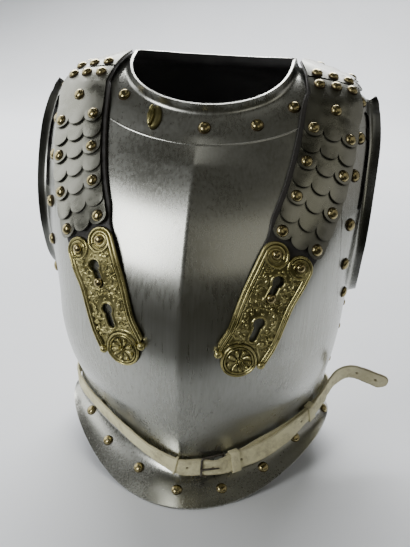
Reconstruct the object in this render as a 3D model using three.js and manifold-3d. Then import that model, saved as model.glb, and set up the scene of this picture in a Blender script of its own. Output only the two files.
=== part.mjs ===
// Cavalry cuirass: a breastplate and a backplate of polished steel, joined by two scaled
// shoulder straps with keyhole end plates and by a buff leather waist belt.
// Millimetres, +Z up, the breast faces -Y, the wearer's left is +X.
import * as THREE from 'three';
import { mergeVertices } from 'three/addons/utils/BufferGeometryUtils.js';
import Module from 'manifold-3d';

const wasm = await Module();
wasm.setup();

// ---------------------------------------------------------------- driving dimensions

const BREAST_THICKNESS = 2.4;
const BACK_THICKNESS = 2.0;
const EDGE_ANGLE = 89.6;            // both plates end this far round, so a thin seam stays open
const SEAM_GAP = 0.6;               // half of the gap that the seam keeps at least
const RIDGE_HEIGHT = 6;
const RIDGE_HALF_WIDTH = 70;
const RIDGE_TOP = 392;

// Horizontal sections of the torso: height, half width, depth in front, depth behind, and
// fullness in front and behind (negative is pointed like a lozenge, positive is squarer than
// an ellipse).
const SECTIONS = [
  { z: 20, width: 155.5, front: 126, back: 100, full: -0.08, backFull: 0 },
  { z: 31, width: 155, front: 131, back: 104, full: -0.08, backFull: 0 },
  { z: 45, width: 154.5, front: 137.5, back: 108, full: -0.08, backFull: 0 },
  { z: 57, width: 154, front: 142, back: 111.5, full: -0.08, backFull: 0 },
  { z: 75, width: 152.5, front: 149, back: 117, full: -0.06, backFull: 0.01 },
  { z: 93, width: 152.5, front: 155.5, back: 123, full: -0.035, backFull: 0.02 },
  { z: 110, width: 154, front: 161, back: 128.5, full: -0.01, backFull: 0.03 },
  { z: 140, width: 159, front: 168, back: 138, full: 0.015, backFull: 0.03 },
  { z: 181, width: 163.5, front: 173, back: 149, full: 0.03, backFull: 0.03 },
  { z: 205, width: 165, front: 174, back: 154, full: 0.03, backFull: 0.03 },
  { z: 229, width: 167, front: 174, back: 157.5, full: 0.03, backFull: 0.03 },
  { z: 250, width: 170.5, front: 171.5, back: 159.5, full: 0.03, backFull: 0.03 },
  { z: 270, width: 174, front: 167, back: 160, full: 0.03, backFull: 0.03 },
  { z: 290, width: 178, front: 160, back: 159.5, full: 0.03, backFull: 0.03 },
  { z: 320, width: 182, front: 146.5, back: 157, full: 0.03, backFull: 0.03 },
  { z: 345, width: 183, front: 132, back: 152.5, full: 0.03, backFull: 0.03 },
  { z: 365, width: 182, front: 118, back: 147, full: 0.03, backFull: 0.03 },
  { z: 385, width: 179, front: 103, back: 139, full: 0.03, backFull: 0.03 },
  { z: 400, width: 174.5, front: 92.5, back: 130, full: 0.03, backFull: 0.03 },
  { z: 414, width: 169, front: 82, back: 118.5, full: 0.03, backFull: 0.03 },
  { z: 424, width: 163.5, front: 73, back: 108.5, full: 0.03, backFull: 0.03 },
  { z: 432, width: 151, front: 64, back: 99, full: 0.03, backFull: 0.03 },
  { z: 440, width: 131, front: 53, back: 87, full: 0.03, backFull: 0.03 },
  { z: 446, width: 113, front: 42, back: 74, full: 0.03, backFull: 0.03 },
  { z: 450, width: 100, front: 31, back: 59, full: 0.03, backFull: 0.03 },
  { z: 453, width: 87, front: 17, back: 35, full: 0.03, backFull: 0.03 },
  { z: 455, width: 72, front: 2, back: 5, full: 0.03, backFull: 0.03 },
];

// Waist: the crease where the flange starts, and the flange's rim, which is flat on the
// ground in the middle of the front and of the back and rises towards the hips.
const CREASE_LOW = 27;
const CREASE_RISE = 27;
const RIM_RISE = 44;
const RIM_FLAT = 0.3;
const RIM_HALF_WIDTH = 161.5;
const RIM_FRONT = 171.5;
const RIM_BACK = 141;
const RIM_FULL = -0.04;

// Openings: the roots of the turned-out edges.
const NECK_HALF_WIDTH = 92;
const NECK_TOP = 451.8;
const NECK_FRONT_DROP = 42.8;
const NECK_BACK_DROP = 7;
const ARM_FRONT = [
  { z: 204, y: 0 }, { z: 205.5, y: -10 }, { z: 210, y: -24 }, { z: 218, y: -40 },
  { z: 230, y: -54 }, { z: 246, y: -66 }, { z: 266, y: -74 }, { z: 290, y: -78 },
  { z: 314, y: -77.5 }, { z: 337, y: -72 }, { z: 360, y: -61 }, { z: 381, y: -47 },
  { z: 398, y: -34 }, { z: 412, y: -21 }, { z: 421, y: -9 }, { z: 424.5, y: 0 },
];
const ARM_BACK = [
  { z: 204, y: 0 }, { z: 206, y: 12 }, { z: 213, y: 28 }, { z: 226, y: 44 },
  { z: 244, y: 57 }, { z: 266, y: 66 }, { z: 292, y: 71 }, { z: 320, y: 70 },
  { z: 346, y: 63 }, { z: 368, y: 53 }, { z: 388, y: 41 }, { z: 404, y: 28 },
  { z: 417, y: 14 }, { z: 424.5, y: 0 },
];
const NECK_FLANGE = { radius: 6, turn: 60, lip: 6, steps: 2 };
const ARM_FLANGE = { radius: 5, turn: 68, lip: 7, steps: 2 };

// Shoulder straps: the middle line over the plates, as angle round the torso and height.
const STRAP_LINE = [
  { angle: 17.6, z: 158 }, { angle: 18.6, z: 188 }, { angle: 22.4, z: 212 },
  { angle: 26, z: 251.5 }, { angle: 29.7, z: 286 }, { angle: 32.2, z: 305 },
  { angle: 35.8, z: 336 }, { angle: 38.9, z: 366 }, { angle: 42.3, z: 395 },
  { angle: 46.5, z: 416 }, { angle: 55, z: 432 }, { angle: 70, z: 440.5 },
  { angle: 90, z: 444.3 }, { angle: 107, z: 441 }, { angle: 119, z: 434 },
  { angle: 128, z: 422 }, { angle: 134, z: 405 }, { angle: 138, z: 384 },
  { angle: 141, z: 360 }, { angle: 143, z: 336 },
];
const LEATHER = { inner: 32.5, drawIn: 3.5, outer: 27, low: 1.25, high: 4.3, start: 129, end: 456 };
// Over the crest of the shoulder the strap stands off the turned edge of the neck.
const CREST = { at: 372, reach: 52, lift: 2.6 };
const SCALE = { halfWidth: 28, thickness: 1.2, pitch: 18.65, cover: 12, rise: 0.1, dip: 8.5 };
const SCALE_LIFT = 0.5;             // clear of the leather at a plate's upper end
const FIRST_SCALE_EDGE = 153;       // lower edge of the lowest scale in front, along the strap
const SHOULDER_PLATE_END = 336;     // upper end of the long plain plate
const CREST_PLATE_START = 338.5;
const CREST_PLATE_END = 398;

// Keyhole plate, in distances along the strap and across it.
const KEYHOLE_PLATE = {
  halfWidth: 27.5, foot: 37, lobes: 137.6, thickness: 2.4, low: 1.6, lift: 3.2,
  rosette: 29.5, rosetteRadius: 18.5, ball: 22.6, bead: 24,
};
const KEYHOLES = [{ hole: 117.5, end: 98.5 }, { hole: 73, end: 56.5 }];
const KEYHOLE_RADIUS = 5.5;
const SLOT_HALF_WIDTH = 3.2;
const STUD = { at: 100.5, stem: 2.3, head: 4.9 };

const RIVET_RADIUS = 6;
const RIVET_HEIGHT = 3.8;
const NECK_RIVETS = [
  { angle: -27.1, z: 422.5 }, { angle: 1.3, z: 398.9 }, { angle: 16.8, z: 403.7 },
  { angle: 29.6, z: 420.5 },
];
const ARM_RIVETS = [
  { angle: 71.5, z: 424 }, { angle: 60, z: 392 }, { angle: 54.9, z: 358.3 },
  { angle: 55.9, z: 311.5 }, { angle: 59.5, z: 270 }, { angle: 68, z: 231 },
];
// Waist rivets: angle round the flange and the way down it, from 0 at the crease to 1.
const WAIST_RIVETS = [
  { angle: -60, down: 0.46, lift: 1.7 }, { angle: -43.5, down: 0.64, lift: 0.8 },
  { angle: -23.5, down: 0.62, lift: 0.8 }, { angle: -1, down: 0.7, lift: 1.2 },
  { angle: 21, down: 0.76, lift: 0.8 }, { angle: 40.5, down: 0.72, lift: 0.8 },
  { angle: 58, down: 0.5, lift: 1.5 }, { angle: 85.5, down: 0.5, lift: 1.6 },
];
const HOOK = { angle: -13.9, z: 404.5, halfWidth: 7, halfLength: 13, height: 8 };

// Belt: the line its middle follows. Rise is over the crease, out is how far the inmost layer
// stands level off the torso's wall, and lean tips the belt's top outwards, in degrees.
const BELT_WALL = 13.5;             // height over the crease from which out is measured
const BELT_PATH = [
  { angle: -112, rise: 13.5, out: 3.2, lean: 0 },
  { angle: -84, rise: 13.5, out: 3.2, lean: 2 },
  { angle: -60, rise: 13, out: 3, lean: 12 },
  { angle: -40, rise: 12, out: 3, lean: 15 },
  { angle: -20, rise: 12, out: 3.2, lean: 15 },
  { angle: -9, rise: 12, out: 3.6, lean: 12 },
  { angle: 3, rise: 9, out: 4, lean: 3 },
  { angle: 10, rise: 7, out: 4, lean: 0 },
  { angle: 16, rise: 3.5, out: 3.8, lean: 0 },
  { angle: 22, rise: 1.5, out: 4, lean: -6 },
  { angle: 32, rise: 0.5, out: 4.8, lean: -8 },
  { angle: 38, rise: 0.5, out: 5, lean: -11 },
  { angle: 45, rise: 2.5, out: 5, lean: -9 },
  { angle: 52, rise: 7, out: 5, lean: -4 },
  { angle: 60, rise: 14.5, out: 5, lean: 7 },
  { angle: 69, rise: 20.5, out: 4.4, lean: 7 },
  { angle: 76, rise: 20.5, out: 4.1, lean: 6 },
  { angle: 86, rise: 19, out: 3.8, lean: 3 },
  { angle: 98, rise: 16, out: 3.4, lean: 0 },
  { angle: 112, rise: 13.5, out: 3.2, lean: 0 },
];
const BELT_HALF_WIDTH = 11;
const BELT_THICKNESS = 2.4;
// Billet: over is how far it lies outside the inmost layer, and width a share of the belt's.
const BILLET = [
  { angle: -112, over: 0 }, { angle: -98, over: 0 }, { angle: -84, over: 0 },
  { angle: -72, over: 0 }, { angle: -60, over: 0 }, { angle: -48, over: 0 },
  { angle: -36, over: 0 }, { angle: -25, over: 0 }, { angle: -15, over: 0 },
  { angle: -6, over: 0 }, { angle: -2, over: 0 }, { angle: 3, over: 0 }, { angle: 9, over: 0 },
  { angle: 13, over: 1, width: 0.9 }, { angle: 16.5, over: 2.8, width: 0.84 },
  { angle: 20, over: 3.8, width: 0.9 }, { angle: 24, over: 3.1 }, { angle: 30, over: 3 },
  { angle: 36, over: 3, raise: -1 }, { angle: 43, over: 3, raise: -1.5 },
  { angle: 50, over: 3, raise: -1 }, { angle: 57, over: 3 }, { angle: 62, over: 3 },
  { angle: 67, over: 3 },
];
// The loose end of the billet: middle line, and the way its face looks.
const BILLET_END = [
  { x: 153, y: -33, z: 83, nx: 0.87, ny: -0.48, nz: -0.1 },
  { x: 161, y: -20, z: 92.5, nx: 0.77, ny: -0.62, nz: -0.15 },
  { x: 171, y: -10, z: 98.5, nx: 0.45, ny: -0.85, nz: -0.25 },
  { x: 182.5, y: -4.5, z: 100.5, nx: 0.25, ny: -0.9, nz: -0.36 },
  { x: 194.5, y: -1, z: 97.5, nx: 0.2, ny: -0.9, nz: -0.4 },
  { x: 207.5, y: 1, z: 92.5, nx: 0.2, ny: -0.9, nz: -0.4 },
  { x: 219.5, y: 3, z: 87.5, nx: 0.2, ny: -0.9, nz: -0.4 },
];
const BILLET_TIP = { x: 229, y: 5, z: 82.5 };
const CHAPE = [
  { angle: 23.5 }, { angle: 30.5 }, { angle: 36, raise: 1.5 }, { angle: 43, raise: 2 },
  { angle: 50, raise: 1.5 }, { angle: 57 }, { angle: 62 }, { angle: 67 }, { angle: 73 },
  { angle: 80 }, { angle: 90 }, { angle: 100 }, { angle: 112 },
];
const KEEPER = { under: 1, over: 1.4, side: 1.6, gap: 0.5 };
const KEEPERS = [
  { name: 'belt_keeper_fixed', angle: 27, length: 11 },
  { name: 'belt_keeper_loose', angle: 64.5, length: 10 },
];
const THONG = { angle: -2, length: 2.5, wall: 0.8, gap: 0.8 };
// Buckle: a rectangular frame, one side bar over the billet and the other, lower, at its hinge.
const BUCKLE = { outer: 10.5, hinge: 22, outerOver: 3.5, hingeOver: -0.6, halfAcross: 12.6, bar: 2.2 };
const TONGUE = { from: 9.6, to: 19, fromOver: 6.4, toOver: 6.8, width: 2.4, thickness: 1.6 };

// ---------------------------------------------------------------- materials

const STEEL = { color: 0x8f9092, roughness: 0.3, metalness: 1 };
const BRASS = { color: 0xa8924a, roughness: 0.35, metalness: 1 };
const BLACK_LEATHER = { color: 0x17140f, roughness: 0.7, metalness: 0 };
const BUFF_LEATHER = { color: 0xc9c3a2, roughness: 0.65, metalness: 0 };

const group = new THREE.Group();

function addMesh(name, geometry, look) {
  const mesh = new THREE.Mesh(geometry, new THREE.MeshStandardMaterial(look));
  mesh.name = name;
  group.add(mesh);
  return mesh;
}

// ---------------------------------------------------------------- the torso surface

// Smooth curve through rows of a table (cubic Hermite, averaged slopes).
function fromTable(rows, key, at, by = 'z') {
  const last = rows.length - 1;
  const t = Math.min(Math.max(at, rows[0][by]), rows[last][by]);
  let k = 0;
  while (k < last - 1 && rows[k + 1][by] <= t) {
    k += 1;
  }
  const slope = (i) => (rows[i + 1][key] - rows[i][key]) / (rows[i + 1][by] - rows[i][by]);
  const here = slope(k);
  const m0 = k > 0 ? (slope(k - 1) + here) / 2 : here;
  const m1 = k < last - 1 ? (here + slope(k + 1)) / 2 : here;
  const h = rows[k + 1][by] - rows[k][by];
  const u = (t - rows[k][by]) / h;
  const u2 = u * u;
  const u3 = u2 * u;
  return (2 * u3 - 3 * u2 + 1) * rows[k][key] + (u3 - 2 * u2 + u) * h * m0
    + (-2 * u3 + 3 * u2) * rows[k + 1][key] + (u3 - u2) * h * m1;
}

function across(angle, full) {
  return (Math.sin(angle) + full * Math.sin(3 * angle)) / (1 - full);
}

function along(angle, full) {
  return (Math.cos(angle) - full * Math.cos(3 * angle)) / (1 - full);
}

// Point of the torso's outer surface: angle is 0 in front, +-90 degrees at the sides and
// up to 180 behind.
function torso(angle, z) {
  const front = Math.cos(angle) >= 0;
  const full = fromTable(SECTIONS, front ? 'full' : 'backFull', z);
  const x = fromTable(SECTIONS, 'width', z) * across(angle, full);
  const cosine = along(angle, full);
  if (!front) {
    return new THREE.Vector3(x, -fromTable(SECTIONS, 'back', z) * cosine, z);
  }
  const near = Math.max(0, 1 - Math.abs(x) / RIDGE_HALF_WIDTH);
  const fade = Math.min(Math.max((RIDGE_TOP - z) / 25, 0), 1);
  const y = -fromTable(SECTIONS, 'front', z) * cosine - RIDGE_HEIGHT * near * near * fade;
  return new THREE.Vector3(x, y, z);
}

function torsoNormal(angle, z) {
  const a = torso(angle + 1e-3, z).sub(torso(angle - 1e-3, z));
  const b = torso(angle, z + 0.05).sub(torso(angle, z - 0.05));
  return a.cross(b).normalize();
}

// Angle at which the section at height z reaches the fraction f of its half width.
function angleForWidth(f, z, fullKey) {
  const full = fromTable(SECTIONS, fullKey, z);
  let low = 0;
  let high = THREE.MathUtils.degToRad(EDGE_ANGLE);
  for (let i = 0; i < 40; i += 1) {
    const mid = (low + high) / 2;
    if (across(mid, full) < f) {
      low = mid;
    } else {
      high = mid;
    }
  }
  return (low + high) / 2;
}

// Angle at which the section at height z reaches the fraction f of its depth.
function angleForDepth(f, z, fullKey) {
  const full = fromTable(SECTIONS, fullKey, z);
  let low = 0;
  let high = THREE.MathUtils.degToRad(EDGE_ANGLE);
  for (let i = 0; i < 40; i += 1) {
    const mid = (low + high) / 2;
    if (along(mid, full) > f) {
      low = mid;
    } else {
      high = mid;
    }
  }
  return (low + high) / 2;
}

function creaseHeight(angle) {
  return CREASE_LOW + CREASE_RISE * Math.abs(Math.sin(angle)) ** 1.5;
}

function rimPoint(angle, depth) {
  const s = Math.abs(Math.sin(angle));
  const rise = RIM_RISE * Math.max(0, (s - RIM_FLAT) / (1 - RIM_FLAT)) ** 2.2;
  return new THREE.Vector3(
    RIM_HALF_WIDTH * across(angle, RIM_FULL),
    -depth * along(angle, RIM_FULL),
    rise,
  );
}

// ---------------------------------------------------------------- sheets

// A curve given as angle and height is resampled to even steps along the surface.
function evenly(curve, count) {
  const points = curve.map((p) => torso(p.angle, p.z));
  const run = [0];
  for (let i = 1; i < points.length; i += 1) {
    run.push(run[i - 1] + points[i].distanceTo(points[i - 1]));
  }
  const total = run[run.length - 1];
  const out = [];
  let k = 0;
  for (let i = 0; i <= count; i += 1) {
    const want = total * i / count;
    while (k < run.length - 2 && run[k + 1] < want) {
      k += 1;
    }
    const f = (want - run[k]) / (run[k + 1] - run[k]);
    out.push({
      angle: curve[k].angle + f * (curve[k + 1].angle - curve[k].angle),
      z: curve[k].z + f * (curve[k + 1].z - curve[k].z),
    });
  }
  return out;
}

function sampled(count, at) {
  return Array.from({ length: count + 1 }, (_, i) => at(i / count));
}

// The four sides of one half of a plate, from its middle line to the arm.
function plateSides(plan) {
  const edge = THREE.MathUtils.degToRad(EDGE_ANGLE);
  const side = plan.front ? 1 : -1;
  const turned = (angle) => (plan.front ? angle : Math.PI - angle);
  const depthKey = plan.front ? 'front' : 'back';
  const fullKey = plan.front ? 'full' : 'backFull';
  const bottom = sampled(160, (t) => ({ angle: t * edge, z: creaseHeight(t * edge) }));
  const middle = sampled(160, (t) => {
    const top = NECK_TOP - plan.neckDrop;
    return { angle: 0, z: CREASE_LOW + t * (top - CREASE_LOW) };
  });
  const seam = sampled(60, (t) => {
    const from = creaseHeight(edge);
    return { angle: edge, z: from + t * (plan.arm[0].z - from) };
  });
  const armCurve = new THREE.CatmullRomCurve3(
    plan.arm.map((p) => new THREE.Vector3(0, p.y, p.z)),
  );
  const arm = sampled(300, (t) => {
    const p = armCurve.getPoint(t);
    const depth = fromTable(SECTIONS, depthKey, p.z);
    return { angle: angleForDepth(-side * p.y / depth, p.z, fullKey), z: p.z };
  });
  const neck = sampled(400, (t) => {
    const turn = t * Math.PI / 2;
    const z = NECK_TOP - plan.neckDrop * Math.cos(turn);
    const x = NECK_HALF_WIDTH * Math.sin(turn);
    return { angle: angleForWidth(x / fromTable(SECTIONS, 'width', z), z, fullKey), z };
  });
  const shoulder = sampled(60, (t) => {
    const from = neck[neck.length - 1].z;
    return { angle: edge, z: from + t * (plan.arm[plan.arm.length - 1].z - from) };
  });
  const turn = (curve) => curve.map((p) => ({ angle: turned(p.angle), z: p.z }));
  return {
    bottom: evenly(turn(bottom), plan.wide),
    middle: evenly(turn(middle), plan.seamCells + plan.armCells),
    outer: [
      ...evenly(turn(seam), plan.seamCells).slice(0, -1),
      ...evenly(turn(arm), plan.armCells),
    ],
    top: [
      ...evenly(turn(neck), plan.neckCells).slice(0, -1),
      ...evenly(turn(shoulder), plan.wide - plan.neckCells),
    ],
  };
}

// Blends the four sides into one net of points (a Coons patch).
function blendSides(sides) {
  const wide = sides.bottom.length - 1;
  const tall = sides.middle.length - 1;
  const net = [];
  for (let j = 0; j <= tall; j += 1) {
    const row = [];
    for (let i = 0; i <= wide; i += 1) {
      const u = i / wide;
      const v = j / tall;
      const mix = (key) => (1 - v) * sides.bottom[i][key] + v * sides.top[i][key]
        + (1 - u) * sides.middle[j][key] + u * sides.outer[j][key]
        - (1 - u) * (1 - v) * sides.bottom[0][key] - u * (1 - v) * sides.bottom[wide][key]
        - (1 - u) * v * sides.top[0][key] - u * v * sides.top[wide][key];
      row.push({ angle: mix('angle'), z: mix('z') });
    }
    net.push(row);
  }
  return net;
}

// A growing list of outer points, each with the direction in which the sheet has its
// thickness, and four-sided faces between them.
class Sheet {
  constructor() {
    this.points = [];
    this.faces = [];
    this.rim = new Map();
  }

  add(point) {
    this.points.push(point);
    return this.points.length - 1;
  }

  quad(a, b, c, d) {
    this.faces.push([a, b, c], [a, c, d]);
  }

  // Closes the sheet into a solid: a second skin one thickness inside, and walls round it.
  solid(thickness, side) {
    const count = this.points.length;
    const normals = this.points.map(() => new THREE.Vector3());
    for (const [a, b, c] of this.faces) {
      const ab = this.points[b].clone().sub(this.points[a]);
      const ac = this.points[c].clone().sub(this.points[a]);
      const n = ab.cross(ac);
      normals[a].add(n);
      normals[b].add(n);
      normals[c].add(n);
    }
    const all = this.points.map((p) => p.clone());
    for (let i = 0; i < count; i += 1) {
      const inner = this.points[i].clone().addScaledVector(normals[i].normalize(), -thickness);
      if (this.rim.has(i)) {
        const up = this.points[this.rim.get(i)].clone().sub(this.points[i]).normalize();
        inner.addScaledVector(up, (this.points[i].z - inner.z) / up.z);
        inner.z = this.points[i].z;
      }
      all.push(inner);
    }
    for (const p of all) {
      p.y = side > 0 ? Math.min(p.y, -SEAM_GAP) : Math.max(p.y, SEAM_GAP);
    }
    const triangles = [];
    const edges = new Map();
    for (const face of this.faces) {
      triangles.push(face);
      triangles.push([face[2] + count, face[1] + count, face[0] + count]);
      for (let k = 0; k < 3; k += 1) {
        const a = face[k];
        const b = face[(k + 1) % 3];
        if (edges.has(`${b},${a}`)) {
          edges.delete(`${b},${a}`);
        } else {
          edges.set(`${a},${b}`, [a, b]);
        }
      }
    }
    for (const [a, b] of edges.values()) {
      triangles.push([b, a, a + count], [b, a + count, b + count]);
    }
    return meshOf(all, triangles);
  }
}

function meshOf(points, triangles) {
  const geometry = new THREE.BufferGeometry();
  const flat = new Float32Array(points.length * 3);
  points.forEach((p, i) => p.toArray(flat, i * 3));
  geometry.setAttribute('position', new THREE.BufferAttribute(flat, 3));
  geometry.setIndex(triangles.flat());
  return geometry;
}

// Turns an edge of a sheet outwards: a rounded bend, then a straight lip.
function turnEdge(sheet, indices, places, mirror, flange) {
  const turn = THREE.MathUtils.degToRad(flange.turn);
  const last = places.length - 1;
  let previous = indices;
  const frames = places.map((place, i) => {
    const before = torso(places[Math.max(i - 1, 0)].angle, places[Math.max(i - 1, 0)].z);
    const after = torso(places[Math.min(i + 1, last)].angle, places[Math.min(i + 1, last)].z);
    const tangent = after.sub(before).normalize();
    const normal = torsoNormal(place.angle, place.z);
    const out = tangent.clone().cross(normal).normalize();
    if (flange.flip) {
      out.negate();
    }
    return { root: torso(place.angle, place.z), normal, out };
  });
  for (let k = 1; k <= flange.steps + 1; k += 1) {
    const bend = turn * Math.min(k / flange.steps, 1);
    const lip = k > flange.steps ? flange.lip : 0;
    const row = frames.map((frame) => {
      const p = frame.root.clone();
      p.addScaledVector(frame.out, flange.radius * Math.sin(bend) + lip * Math.cos(turn));
      p.addScaledVector(frame.normal, flange.radius * (1 - Math.cos(bend)) + lip * Math.sin(turn));
      if (mirror) {
        p.x = -p.x;
      }
      return sheet.add(p);
    });
    for (let i = 0; i < last; i += 1) {
      if (mirror !== Boolean(flange.flip)) {
        sheet.quad(previous[i], previous[i + 1], row[i + 1], row[i]);
      } else {
        sheet.quad(previous[i + 1], previous[i], row[i], row[i + 1]);
      }
    }
    previous = row;
  }
}

function plateGeometry(plan) {
  const sheet = new Sheet();
  const net = blendSides(plateSides(plan));
  const tall = net.length - 1;
  const wide = net[0].length - 1;
  const depth = plan.front ? RIM_FRONT : -RIM_BACK;
  const indexOf = (mirror, grid, j, i) => (mirror && i > 0 ? grid.left : grid.right)[j][i];
  const grid = { right: [], left: [] };
  const skirtSteps = [1, 0.7, 0.42, 0.18];
  for (let j = -skirtSteps.length; j <= tall; j += 1) {
    const right = [];
    const left = [];
    for (let i = 0; i <= wide; i += 1) {
      let p;
      if (j >= 0) {
        p = torso(net[j][i].angle, net[j][i].z);
      } else {
        const place = net[0][i];
        const start = torso(place.angle, place.z);
        const down = torso(place.angle, place.z - 3).sub(start).normalize();
        const frontAngle = plan.front ? place.angle : Math.PI - place.angle;
        const end = rimPoint(frontAngle, depth);
        const reach = Math.min(12, 0.5 * start.distanceTo(end));
        const bend = start.clone().addScaledVector(down, reach);
        const t = skirtSteps[j + skirtSteps.length];
        p = start.multiplyScalar((1 - t) ** 2);
        p.addScaledVector(bend, 2 * t * (1 - t));
        p.addScaledVector(end, t * t);
      }
      right.push(sheet.add(p));
      left.push(i === 0 ? right[0] : sheet.add(new THREE.Vector3(-p.x, p.y, p.z)));
    }
    grid.right.push(right);
    grid.left.push(left);
  }
  for (let i = 0; i <= wide; i += 1) {
    sheet.rim.set(grid.right[0][i], grid.right[1][i]);
    sheet.rim.set(grid.left[0][i], grid.left[1][i]);
  }
  const outward = plan.front ? 1 : -1;
  for (let j = 0; j < grid.right.length - 1; j += 1) {
    for (let i = 0; i < wide; i += 1) {
      for (const mirror of [false, true]) {
        const a = indexOf(mirror, grid, j, i);
        const b = indexOf(mirror, grid, j, i + 1);
        const c = indexOf(mirror, grid, j + 1, i + 1);
        const d = indexOf(mirror, grid, j + 1, i);
        if ((outward > 0) !== mirror) {
          sheet.quad(a, b, c, d);
        } else {
          sheet.quad(d, c, b, a);
        }
      }
    }
  }
  const base = skirtSteps.length;
  const neck = Array.from({ length: plan.neckCells + 1 }, (_, i) => i);
  const arm = Array.from({ length: plan.armCells + 1 }, (_, j) => j + plan.seamCells);
  for (const mirror of [false, true]) {
    const side = mirror ? grid.left : grid.right;
    turnEdge(
      sheet,
      neck.map((i) => side[base + tall][i]),
      neck.map((i) => net[tall][i]),
      mirror,
      { ...NECK_FLANGE, flip: plan.front },
    );
    turnEdge(
      sheet,
      arm.map((j) => side[base + j][wide]),
      arm.map((j) => net[j][wide]),
      mirror,
      { ...ARM_FLANGE, flip: !plan.front },
    );
  }
  return sheet.solid(plan.thickness, outward);
}

const FRONT_PLAN = {
  front: true, arm: ARM_FRONT, neckDrop: NECK_FRONT_DROP, thickness: BREAST_THICKNESS,
  wide: 14, neckCells: 9, seamCells: 7, armCells: 14,
};
const BACK_PLAN = {
  front: false, arm: ARM_BACK, neckDrop: NECK_BACK_DROP, thickness: BACK_THICKNESS,
  wide: 10, neckCells: 6, seamCells: 5, armCells: 11,
};
addMesh('breastplate', plateGeometry(FRONT_PLAN), STEEL);
addMesh('backplate', plateGeometry(BACK_PLAN), STEEL);

// ---------------------------------------------------------------- solids and joins

// Closes a net of outer points and a net of inner points, with the same rows, into a solid.
function slab(outer, inner) {
  const rows = outer.length;
  const columns = outer[0].length;
  const points = [...outer.flat(), ...inner.flat()];
  const triangles = [];
  const quad = (a, b, c, d) => triangles.push([a, b, c], [a, c, d]);
  const top = (j, i) => j * columns + i;
  const low = (j, i) => rows * columns + j * columns + i;
  for (let j = 0; j < rows - 1; j += 1) {
    for (let i = 0; i < columns - 1; i += 1) {
      quad(top(j, i), top(j, i + 1), top(j + 1, i + 1), top(j + 1, i));
      quad(low(j + 1, i), low(j + 1, i + 1), low(j, i + 1), low(j, i));
    }
    quad(top(j + 1, 0), low(j + 1, 0), low(j, 0), top(j, 0));
    quad(top(j, columns - 1), low(j, columns - 1), low(j + 1, columns - 1), top(j + 1, columns - 1));
  }
  for (let i = 0; i < columns - 1; i += 1) {
    quad(top(0, i), low(0, i), low(0, i + 1), top(0, i + 1));
    quad(top(rows - 1, i + 1), low(rows - 1, i + 1), low(rows - 1, i), top(rows - 1, i));
  }
  return meshOf(points, triangles);
}

function toSolid(geometry) {
  const bare = new THREE.BufferGeometry();
  bare.setAttribute('position', geometry.getAttribute('position').clone());
  if (geometry.index) {
    bare.setIndex(geometry.index.clone());
  }
  const merged = mergeVertices(bare, 1e-4);
  return new wasm.Manifold(new wasm.Mesh({
    numProp: 3,
    vertProperties: new Float32Array(merged.getAttribute('position').array),
    triVerts: new Uint32Array(merged.index.array),
  }));
}

function toGeometry(solid) {
  const mesh = solid.getMesh();
  const geometry = new THREE.BufferGeometry();
  const flat = new Float32Array(mesh.numVert * 3);
  for (let i = 0; i < mesh.numVert; i += 1) {
    for (let k = 0; k < 3; k += 1) {
      flat[i * 3 + k] = mesh.vertProperties[i * mesh.numProp + k];
    }
  }
  geometry.setAttribute('position', new THREE.BufferAttribute(flat, 3));
  geometry.setIndex(Array.from(mesh.triVerts));
  return geometry;
}

// Places a geometry drawn with +Z as its outward direction at a frame.
function placed(geometry, frame) {
  const matrix = new THREE.Matrix4().makeBasis(frame.x, frame.y, frame.z);
  matrix.setPosition(frame.origin);
  return geometry.clone().applyMatrix4(matrix);
}

function frameAt(origin, normal, hint) {
  const z = normal.clone().normalize();
  const x = hint.clone().addScaledVector(z, -hint.dot(z)).normalize();
  return { origin, x, y: z.clone().cross(x), z };
}

function mirrored(geometry) {
  const copy = geometry.clone();
  const position = copy.getAttribute('position');
  for (let i = 0; i < position.count; i += 1) {
    position.setX(i, -position.getX(i));
  }
  const index = copy.index.array;
  for (let i = 0; i < index.length; i += 3) {
    [index[i], index[i + 1]] = [index[i + 1], index[i]];
  }
  return copy;
}

function dome(radius, height, sink, segments) {
  const profile = [[0, -sink], [radius, -sink], [radius * 0.78, height * 0.72], [0, height]];
  const lathe = new THREE.LatheGeometry(profile.map(([r, z]) => new THREE.Vector2(r, z)), segments);
  return lathe.rotateX(Math.PI / 2);
}

// ---------------------------------------------------------------- shoulder straps

const radians = THREE.MathUtils.degToRad;

function strapLift(distance) {
  const t = (distance - CREST.at) / CREST.reach;
  return CREST.lift * Math.max(0, 1 - t * t);
}

const strapTable = (() => {
  const curve = new THREE.CatmullRomCurve3(
    STRAP_LINE.map((p) => new THREE.Vector3(p.angle, p.z, 0)),
    false,
    'centripetal',
  );
  const rows = [];
  let run = 0;
  let previous = null;
  for (let i = 0; i <= 1500; i += 1) {
    const q = curve.getPoint(i / 1500);
    const p = torso(radians(q.x), q.y);
    run += previous ? p.distanceTo(previous) : 0;
    previous = p;
    rows.push({ run, angle: radians(q.x), z: q.y });
  }
  return rows;
})();

function strapPlace(distance) {
  const rows = strapTable;
  let low = 0;
  let high = rows.length - 1;
  while (high - low > 1) {
    const mid = (low + high) >> 1;
    if (rows[mid].run <= distance) {
      low = mid;
    } else {
      high = mid;
    }
  }
  const f = (distance - rows[low].run) / (rows[high].run - rows[low].run);
  return {
    angle: rows[low].angle + f * (rows[high].angle - rows[low].angle),
    z: rows[low].z + f * (rows[high].z - rows[low].z),
  };
}

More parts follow.
